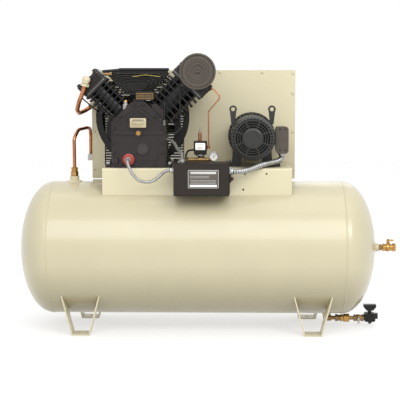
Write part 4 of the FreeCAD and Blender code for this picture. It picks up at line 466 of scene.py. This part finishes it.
# Other finishes on part of a node: node, finish, and the low and high corner of the region in metres.
PART_FINISH = (
    ("hex_bolts", "zinc_plate", (-0.5, -0.14, 0.70), (0.5, 0.30, 0.79)),
    ("hex_bolts", "zinc_plate", (-1.0, -0.40, 0.00), (1.0, 0.40, 0.70)),
    ("hex_bolts", "zinc_plate", (0.1, -0.40, 0.70), (1.0, 0.40, 1.30)),
    ("crankcase_plugs", "brass_fitting", (-0.276, -0.20, 0.89), (-0.250, -0.150, 0.92)),
    ("crankcase_plugs", "turned_steel", (-0.342, -0.140, 1.010), (-0.302, -0.090, 1.0465)),
    ("crankcase_plugs", "brass_fitting", (-0.342, -0.140, 1.0465), (-0.302, -0.090, 1.080)),
    ("crankcase_breather", "bronze_fitting", (-0.276, -0.14, 1.0575), (-0.194, -0.10, 1.0615)),
    ("crankcase_breather", "bronze_fitting", (-0.276, -0.14, 1.0655), (-0.194, -0.10, 1.0695)),
    ("crankcase_breather", "bronze_fitting", (-0.276, -0.14, 1.0735), (-0.194, -0.10, 1.0775)),
    ("crankcase_breather", "bronze_fitting", (-0.276, -0.14, 1.0815), (-0.194, -0.10, 1.0855)),
    ("aftercooler", "cream_casting", (-0.535, 0.110, 0.990), (-0.460, 0.1815, 1.070)),
    ("tank_inlet_tube", "zinc_plate", (-0.540, 0.195, 0.755), (-0.500, 0.235, 0.7915)),
    ("unloader_lines", "black_enamel", (-0.20, -0.20, 0.88), (-0.05, -0.09, 1.13)),
    ("unloader_lines", "grey_iron", (-0.160, -0.175, 0.935), (-0.132, -0.149, 0.966)),
    ("oil_level_switch", "zinc_plate", (-0.33, -0.1832, 0.76), (-0.28, -0.1735, 0.81)),
    ("oil_level_switch", "turned_steel", (-0.33, -0.193, 0.76), (-0.28, -0.1832, 0.81)),
    ("pressure_switch", "turned_steel", (-0.01, -0.13, 0.78), (0.04, -0.07, 0.8087)),
    ("pipe_nipples", "olive_brass", (-0.31, -0.02, 1.14), (-0.165, 0.0, 1.18)),
    ("drain_fittings", "brass_fitting", (0.668, -0.05, 0.0), (0.706, 0.05, 0.12)),
    ("guard_rear_cover", "black_enamel", (-0.50, 0.2585, 0.69), (-0.055, 0.2606, 1.19)),
    ("starter_enclosure", "zinc_plate", (-0.125, -0.26, 0.70), (-0.1001, -0.20, 0.78)),
    ("starter_enclosure", "zinc_plate", (0.1451, -0.26, 0.727), (0.170, -0.20, 0.76)),
    ("starter_enclosure", "zinc_plate", (-0.09, -0.26, 0.7801), (-0.04, -0.20, 0.80)),
    ("motor_conduit_box", "zinc_plate", (0.36, -0.085, 0.797), (0.41, -0.035, 0.8137)),
)


def finish_nodes():
    """Give each CAD node its finish, then the finishes of some of its faces."""
    for node, finish in NODE_FINISH.items():
        mesh = NODES[node].data
        mesh.materials.clear()
        mesh.materials.append(bpy.data.materials[finish])
    bpy.context.view_layer.update()
    for node, finish, low, high in PART_FINISH:
        mesh = NODES[node].data
        place = NODES[node].matrix_world
        slot = len(mesh.materials)
        mesh.materials.append(bpy.data.materials[finish])
        for face in mesh.polygons:
            centre = place @ face.center
            if all(low[axis] <= centre[axis] <= high[axis] for axis in range(3)):
                face.material_index = slot


# ---------------------------------------------------------------- mesh tools

MERGE_DISTANCE = 1e-6
CURVE_STEPS = 24
CURVE_ORDER = 3
FEWEST_STEPS = 4


def add_piece(name, vertices, faces, finish, body=ROOT, smooth_below=40):
    """New mesh piece that rides on a body, smooth except across sharp edges."""
    mesh = bpy.data.meshes.new(name)
    mesh.from_pydata([tuple(vertex) for vertex in vertices], [], faces)
    built = bmesh.new()
    built.from_mesh(mesh)
    bmesh.ops.remove_doubles(built, verts=built.verts, dist=MERGE_DISTANCE)
    bmesh.ops.recalc_face_normals(built, faces=built.faces)
    for edge in built.edges:
        flat = edge.calc_face_angle(0) < math.radians(smooth_below)
        edge.smooth = len(edge.link_faces) == 2 and flat
    for face in built.faces:
        face.smooth = True
    built.to_mesh(mesh)
    built.free()
    mesh.materials.append(bpy.data.materials[finish])
    piece = bpy.data.objects.new(name, mesh)
    bpy.context.scene.collection.objects.link(piece)
    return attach(piece, body)


def upright_to(direction, spin=0.0):
    """Rotation that takes +Z to a direction, after a spin about it."""
    return Vector(direction).to_track_quat("Z", "Y").to_matrix() @ Matrix.Rotation(spin, 3, "Z")


def face_axes(direction, up=Z_AXIS):
    """Unit vectors to the right, up and out of a face."""
    out = Vector(direction).normalized()
    side = Vector(up).cross(out).normalized()
    return side, out.cross(side), out


def lathe(profile, centre, direction, segments=48, spin=0.0, radius_of=None):
    """Vertices and faces of a shape turned from (radius, height) points.

    The points start and end on the axis, or form a closed loop.
    """
    turn = upright_to(direction, spin)
    vertices = []
    for step in range(segments):
        angle = 2 * math.pi * step / segments
        for radius, height in profile:
            reach = radius_of(radius, height, angle) if radius_of else radius
            point = Vector((reach * math.cos(angle), reach * math.sin(angle), height))
            vertices.append(Vector(centre) + turn @ point)
    count = len(profile)
    faces = []
    for step in range(segments):
        here, there = step * count, (step + 1) % segments * count
        for row in range(count - 1):
            faces.append((here + row, there + row, there + row + 1, here + row + 1))
    return vertices, faces


def tube_faces(rings, count):
    """Faces of a tube whose rings of points follow each other."""
    faces = []
    for ring in range(rings - 1):
        for step in range(count):
            here, there = ring * count + step, ring * count + (step + 1) % count
            faces.append((here, there, there + count, here + count))
    return faces


def merged(shapes):
    """One vertex and face list from several."""
    vertices, faces = [], []
    for some_vertices, some_faces in shapes:
        offset = len(vertices)
        vertices += list(some_vertices)
        faces += [tuple(offset + index for index in face) for face in some_faces]
    return vertices, faces


def rounded_outline(width, height, radius, corner_steps=5):
    """Points round a rectangle with round corners, centred on the origin."""
    points = []
    for turn, (sx, sy) in enumerate(((1, 1), (-1, 1), (-1, -1), (1, -1))):
        for step in range(corner_steps + 1):
            angle = math.pi / 2 * (turn + step / corner_steps)
            points.append((sx * (width / 2 - radius) + radius * math.cos(angle),
                           sy * (height / 2 - radius) + radius * math.sin(angle)))
    return points


def plate(centre, direction, width, height, depth, radius, edge=0.0004, up=Z_AXIS):
    """Rounded plate with an eased front edge, whose back is centred on a point."""
    side, rise, out = face_axes(direction, up)
    rings = ((0, 0), (0, depth - edge), (edge, depth))
    vertices = []
    for inset, level in rings:
        for u, v in rounded_outline(width - 2 * inset, height - 2 * inset, radius):
            vertices.append(Vector(centre) + side * u + rise * v + out * level)
    count = len(vertices) // len(rings)
    back, front = tuple(range(count - 1, -1, -1)), tuple(range(2 * count, 3 * count))
    return vertices, [back, front, *tube_faces(len(rings), count)]


def from_curve(curve):
    """Vertices and faces of a curve, which is then thrown away."""
    holder = bpy.data.objects.new(curve.name, curve)
    mesh = bpy.data.meshes.new_from_object(holder)
    vertices = [vertex.co.copy() for vertex in mesh.vertices]
    faces = [tuple(face.vertices) for face in mesh.polygons]
    bpy.data.objects.remove(holder)
    bpy.data.meshes.remove(mesh)
    bpy.data.curves.remove(curve)
    return vertices, faces


def evenly_spaced(line, spacing):
    """Points along a line at equal steps of about the given length."""
    lengths = [0.0]
    for first, second in zip(line, line[1:]):
        lengths.append(lengths[-1] + (second - first).length)
    count = max(FEWEST_STEPS, round(lengths[-1] / spacing))
    even = []
    index = 0
    for step in range(count + 1):
        goal = lengths[-1] * step / count
        while index < len(line) - 2 and lengths[index + 1] < goal:
            index += 1
        share = (goal - lengths[index]) / max(1e-9, lengths[index + 1] - lengths[index])
        even.append(line[index].lerp(line[index + 1], min(1, share)))
    return even


def smooth_route(points, spacing):
    """Evenly spaced points along a smooth curve that starts and ends at the first and last point."""
    curve = bpy.data.curves.new("route", "CURVE")
    curve.dimensions = "3D"
    curve.resolution_u = CURVE_STEPS
    spline = curve.splines.new("NURBS")
    spline.points.add(len(points) - 1)
    for target, point in zip(spline.points, points):
        target.co = (*point, 1)
    spline.order_u = CURVE_ORDER
    spline.use_endpoint_u = True
    line = from_curve(curve)[0]
    return evenly_spaced(line, spacing)


def sweep(route, radius_at, segments=20):
    """Closed round tube along a route, whose radius is a function of the distance along it."""
    tangents = []
    for index in range(len(route)):
        ahead = route[min(index + 1, len(route) - 1)]
        behind = route[max(index - 1, 0)]
        tangents.append((ahead - behind).normalized())
    side = tangents[0].orthogonal().normalized()
    vertices = []
    travelled = 0.0
    for index, (point, tangent) in enumerate(zip(route, tangents)):
        if index:
            travelled += (point - route[index - 1]).length
        side = (side - tangent * side.dot(tangent)).normalized()
        other = tangent.cross(side)
        radius = radius_at(travelled)
        for step in range(segments):
            angle = 2 * math.pi * step / segments
            vertices.append(point + (side * math.cos(angle) + other * math.sin(angle)) * radius)
    last = (len(route) - 1) * segments
    start, end = tuple(range(segments - 1, -1, -1)), tuple(range(last, last + segments))
    return vertices, [*tube_faces(len(route), segments), start, end]


def text_shape(words, size, depth, centre, direction):
    """Raised characters centred on a point."""
    curve = bpy.data.curves.new("words", "FONT")
    curve.body = words
    curve.size = size
    curve.extrude = depth / 2
    curve.align_x = "CENTER"
    curve.align_y = "CENTER"
    flat, faces = from_curve(curve)
    side, rise, out = face_axes(direction)
    vertices = [Vector(centre) + side * spot.x + rise * spot.y + out * spot.z for spot in flat]
    return vertices, faces


# ---------------------------------------------------------------- screws and nuts

SCREW_SUNK = 0.0006
NOTCH_HALF_WIDTH = 0.3
NOTCH_REACH = 0.9
WASHER_SHARE = 1.12


def pan_screw(centre, direction, radius=0.004, height=0.0024, spin=0.4):
    """Domed screw head whose crown is notched on four sides."""
    profile = [(0, -SCREW_SUNK), (radius, -SCREW_SUNK), (radius, height * 0.35),
               (radius * 0.86, height * 0.75), (radius * 0.55, height), (0, height)]

    def notched(reach, level, angle):
        notch = abs(math.sin(2 * (angle + spin))) < NOTCH_HALF_WIDTH
        return reach * (NOTCH_REACH if notch and level > height * 0.9 else 1)
    return lathe(profile, centre, direction, 24, spin, notched)


def hex_nut(centre, direction, across, height, spin=0.0):
    """Hexagon nut with chamfered corners and a washer face."""
    flat = across / 2
    corner = flat / math.cos(math.pi / 6)
    washer = corner * WASHER_SHARE
    profile = [(0, 0), (washer, 0), (washer, height * 0.14), (corner, height * 0.14),
               (corner, height * 0.86), (flat * 0.96, height), (0, height)]

    def six_sided(reach, level, angle):
        if height * 0.1 < level < height * 0.9 and reach < washer:
            offset = (angle + math.pi / 6) % (math.pi / 3) - math.pi / 6
            return flat / math.cos(offset)
        return reach
    return lathe(profile, centre, direction, 36, spin, six_sided)


# ---------------------------------------------------------------- wiring

# Flexible conduits: name, points, radius, pitch and depth of the wound strip, and finish.
FLEXIBLE_CONDUITS = (
    ("motor_flex_conduit",
     ((0.387, -0.060, 0.804), (0.387, -0.060, 0.790), (0.368, -0.082, 0.777), (0.330, -0.122, 0.771),
      (0.294, -0.164, 0.767), (0.258, -0.196, 0.754), (0.222, -0.220, 0.743), (0.184, -0.230, 0.740),
      (0.150, -0.230, 0.740)),
     0.0129, 0.0110, 0.0022, "conduit_zinc"),
    ("switch_flex_conduit",
     ((-0.308, -0.186, 0.788), (-0.308, -0.214, 0.788), (-0.304, -0.236, 0.768), (-0.286, -0.240, 0.730),
      (-0.258, -0.240, 0.700), (-0.222, -0.238, 0.690), (-0.184, -0.236, 0.700), (-0.156, -0.232, 0.728),
      (-0.134, -0.230, 0.745), (-0.104, -0.230, 0.745)),
     0.0072, 0.0056, 0.0010, "conduit_zinc"),
    ("case_flex_conduit",
     ((-0.140, -0.100, 0.875), (-0.125, -0.100, 0.875), (-0.104, -0.118, 0.862), (-0.086, -0.160, 0.832),
      (-0.068, -0.208, 0.824), (-0.064, -0.232, 0.812), (-0.064, -0.232, 0.777)),
     0.0070, 0.0050, 0.0006, "grey_jacket"),
)
SWITCH_CABLE = ((-0.0155, -0.100, 0.828), (-0.034, -0.100, 0.828), (-0.046, -0.118, 0.820),
                (-0.050, -0.150, 0.804), (-0.050, -0.176, 0.798), (-0.050, -0.184, 0.792),
                (-0.050, -0.184, 0.7802))
SWITCH_CABLE_RADIUS = 0.0042
CABLE_STEP = 0.004
STEPS_PER_TURN = 8


def flexible_conduit(name, points, radius, pitch, ridge, finish):
    """Flexible conduit: a smooth route whose wall rises and falls once for each turn of the strip."""
    route = smooth_route(points, pitch / STEPS_PER_TURN)

    def wall(travelled):
        phase = (travelled / pitch) % 1
        return radius - ridge * max(0, math.cos(2 * math.pi * phase)) ** 0.5
    piece = add_piece(name, *sweep(route, wall, 24), finish, smooth_below=80)
    return piece


def plain_cable(name, points, radius, finish):
    """Round jacketed cable."""
    route = smooth_route(points, CABLE_STEP)
    return add_piece(name, *sweep(route, lambda travelled: radius, 16), finish)


def make_wiring():
    """Conduits and cables, which stand for their plain CAD tubes."""
    pieces = [flexible_conduit(*conduit) for conduit in FLEXIBLE_CONDUITS]
    pieces.append(plain_cable("switch_cable", SWITCH_CABLE, SWITCH_CABLE_RADIUS, "cable_jacket"))
    for piece in pieces:
        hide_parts("wiring_conduits")


# ---------------------------------------------------------------- gauge

DIAL_SET_BACK = 0.008
DIAL_BORE, DIAL_RIM = 0.0012, 0.0192
DIAL_BACK, DIAL_FRONT = 0.0001, 0.0005
DIAL_ZERO_DEG = 225
TICKS = 31
TICK_STEP_DEG = 9
TICK_OUTER, TICK_INNER, LONG_TICK_INNER = 0.0184, 0.0172, 0.0162
TICK_WIDTH = 0.0005
TICKS_PER_NUMBER = 5
NUMBERS = 7
NUMBER_STEP = 50
NUMBER_SIZE = 0.0036
NUMBER_RADIUS = 0.0128
INK_DEPTH = 0.0001


def dial_way(ticks):
    """Direction from the dial's centre to a tick, counted clockwise from zero."""
    angle = math.radians(DIAL_ZERO_DEG - ticks * TICK_STEP_DEG)
    return Vector((math.cos(angle), 0, math.sin(angle)))


def make_gauge():
    """Dial card with ticks and numbers, and a clear lens."""
    pivot = Vector(JOINTS["needle_sweep"]["pos_m"])
    face = Vector((pivot.x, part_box("gauge_case")[1].y - DIAL_SET_BACK, pivot.z))
    card = [(DIAL_BORE, DIAL_BACK), (DIAL_RIM, DIAL_BACK), (DIAL_RIM, DIAL_FRONT),
            (DIAL_BORE, DIAL_FRONT), (DIAL_BORE, DIAL_BACK)]
    add_piece("gauge_dial", *lathe(card, face, FRONT), "white_card")
    marks = []
    for index in range(TICKS):
        inner = TICK_INNER if index % TICKS_PER_NUMBER else LONG_TICK_INNER
        way = dial_way(index)
        centre = face + way * (inner + TICK_OUTER) / 2 + FRONT * DIAL_FRONT
        marks.append(plate(centre, FRONT, TICK_WIDTH, TICK_OUTER - inner, INK_DEPTH, 0.0001, 0.00002,
                           up=way))
    for index in range(NUMBERS):
        way = dial_way(index * TICKS_PER_NUMBER)
        centre = face + way * NUMBER_RADIUS + FRONT * 0.0006
        marks.append(text_shape(str(index * NUMBER_STEP), NUMBER_SIZE, INK_DEPTH, centre, FRONT))
    add_piece("gauge_marks", *merged(marks), "ink")
    lens = [(0, 0.0066), (0.0193, 0.0066), (0.0193, 0.0074), (0.010, 0.0082), (0, 0.0084)]
    add_piece("gauge_lens", *lathe(lens, face, FRONT), "gauge_glass")


# ---------------------------------------------------------------- plates and labels

# Bars of the nameplate from the top: width and height.
NAMEPLATE_BARS = ((0.050, 0.0044), (0.060, 0.0016), (0.060, 0.0016), (0.060, 0.0016), (0.042, 0.0016))
NAMEPLATE_DEPTH = 0.0012
# Lines of the starter label: right and up of its middle, and width.
LABEL_LINES = ((-0.016, 0.012, 0.084), (-0.016, 0.006, 0.084), (0, -0.006, 0.112), (0, -0.012, 0.112),
               (0, -0.018, 0.112))
LABEL_SHEET = 0.0004
LABEL_DEPTH = 0.0007
CARD_DEPTH = 0.0005
CARD_LINES = 4
BAR_EDGE = 0.0001


def bar(middle, right, up, lift, width, height, depth=0.0002, radius=0.0003):
    """Plain raised bar on a face to the front, in place of a line of print."""
    centre = middle + Vector((right, 0, up)) + FRONT * lift
    return plate(centre, FRONT, width, height, depth, radius, BAR_EDGE)


def make_nameplate():
    """Blank nameplate on the crankcase, with bars and four rivets."""
    centre = Vector((-0.264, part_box("crankcase_cover")[0].y, 0.952))
    sheet = plate(centre, FRONT, 0.072, 0.042, NAMEPLATE_DEPTH, 0.003)
    add_piece("case_nameplate", *sheet, "plate_gold")
    bars = []
    for row, (width, height) in enumerate(NAMEPLATE_BARS):
        rise = 0.0130 - row * 0.0068
        bars.append(bar(centre, 0, rise, NAMEPLATE_DEPTH, width, height, 0.0003, height * 0.2))
    add_piece("case_nameplate_bars", *merged(bars), "ink")
    rivets = []
    for side in (-1, 1):
        for rise in (-1, 1):
            spot = centre + Vector((side * 0.0325, 0, rise * 0.0175)) + FRONT * NAMEPLATE_DEPTH
            rivets.append(pan_screw(spot, FRONT, 0.0018, 0.001))
    add_piece("case_nameplate_rivets", *merged(rivets), "zinc_plate")


def make_starter_label():
    """Label on the starter box: silver border, dark field, plain lines and a white strip."""
    middle = Vector((0.031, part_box("starter_cover")[0].y, 0.7115))
    add_piece("starter_label", *plate(middle, FRONT, 0.134, 0.080, LABEL_SHEET, 0.004), "label_silver")
    field = plate(middle + FRONT * LABEL_SHEET, FRONT, 0.130, 0.076, 0.0003, 0.003)
    add_piece("starter_label_field", *field, "label_field")
    lines = [bar(middle, 0, 0.0275, LABEL_DEPTH, 0.112, 0.0100, 0.0003, 0.001)]
    for right, up, width in LABEL_LINES:
        lines.append(bar(middle, right, up, LABEL_DEPTH, width, 0.0014))
    add_piece("starter_label_bars", *merged(lines), "label_silver")
    strip = bar(middle, 0, -0.0295, LABEL_DEPTH, 0.118, 0.0090, 0.0003, 0.001)
    add_piece("starter_label_strip", *strip, "white_card")


def make_switch_card():
    """Card on the pressure switch with lines that grow shorter downwards."""
    spot = Vector((0.014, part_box("pressure_switch")[0].y, 0.845))
    add_piece("switch_card", *plate(spot, FRONT, 0.044, 0.031, CARD_DEPTH, 0.002), "white_card")
    rows = [bar(spot, 0, 0.009 - row * 0.006, CARD_DEPTH, 0.030 - row * 0.003, 0.0016)
            for row in range(CARD_LINES)]
    add_piece("switch_card_bars", *merged(rows), "ink")


# ---------------------------------------------------------------- screws on the machine

# Screws of the conduit box, inwards of its low and high corner: right, then up.
BOX_SCREW_INSETS = ((0.022, 0.030), (0.014, 0.012))
GUARD_SCREWS = [(x, z) for x in (-0.497, 0.446) for z in (0.72, 0.90, 1.08, 1.176)]
GUARD_SCREWS += [(x, 1.180) for x in (-0.38, -0.14, 0.10, 0.30)]
GUARD_SCREW_ACROSS = 0.010
GUARD_SCREW_HEIGHT = 0.004


def make_screws():
    """Screws of the conduit box and hexagon heads round the guard."""
    low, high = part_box("motor_conduit_box")
    (low_x, low_z), (high_x, high_z) = BOX_SCREW_INSETS
    heads = []
    for x in (low.x + low_x, high.x - high_x):
        for z in (low.z + low_z, high.z - high_z):
            heads.append(pan_screw((x, low.y, z), FRONT, 0.0036, 0.0022, random.uniform(0, 1.5)))
    add_piece("conduit_box_screws", *merged(heads), "black_moulding")

    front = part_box("guard_panel")[0].y
    nuts = []
    for x, z in GUARD_SCREWS:
        nuts.append(hex_nut((x, front, z), FRONT, GUARD_SCREW_ACROSS, GUARD_SCREW_HEIGHT,
                            random.uniform(0, 1)))
    add_piece("guard_screws", *merged(nuts), "cream_panel")


# ---------------------------------------------------------------- welds

WELD_PITCH = 0.0052
WELD_HALF_WIDTH = 0.0052
WELD_HEIGHT = 0.0028
WELD_RIPPLE = 0.16
WELD_SUNK = 0.0035
WELD_INSET = 0.003
WELD_ROUNDS = 720
WELD_SECTION = 10


def girth_weld(x, radius, height):
    """Vertices and faces of a rippled bead round the receiver, whose axis is at a height."""
    vertices, faces = [], []
    for step in range(WELD_ROUNDS):
        angle = 2 * math.pi * step / WELD_ROUNDS
        ripple = 1 + WELD_RIPPLE * math.sin(angle * radius / WELD_PITCH * 2 * math.pi)
        here, there = step * WELD_SECTION, (step + 1) % WELD_ROUNDS * WELD_SECTION
        for corner in range(WELD_SECTION):
            turn = 2 * math.pi * corner / WELD_SECTION
            reach = radius + WELD_HEIGHT * ripple * math.cos(turn)
            vertices.append((x + WELD_HALF_WIDTH * math.sin(turn), reach * math.sin(angle),
                             height + reach * math.cos(angle)))
            following = (corner + 1) % WELD_SECTION
            faces.append((here + corner, there + corner, there + following, here + following))
    return vertices, faces


def make_welds():
    """Girth welds over the two seams of the receiver."""
    low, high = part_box("tank_shell")
    axis = (low + high) / 2
    radius = (high.z - low.z) / 2 - WELD_SUNK
    for name, x in (("left_girth_weld", low.x + WELD_INSET), ("right_girth_weld", high.x - WELD_INSET)):
        add_piece(name, *girth_weld(x, radius, axis.z), "cream_enamel", smooth_below=80)


# ---------------------------------------------------------------- the whole scene

def make_pieces():
    """Every piece that adds to the CAD nodes."""
    make_wiring()
    make_gauge()
    make_nameplate()
    make_starter_label()
    make_switch_card()
    make_screws()
    make_welds()


make_camera()
make_floor()
make_light()
make_materials()
finish_nodes()
make_pieces()
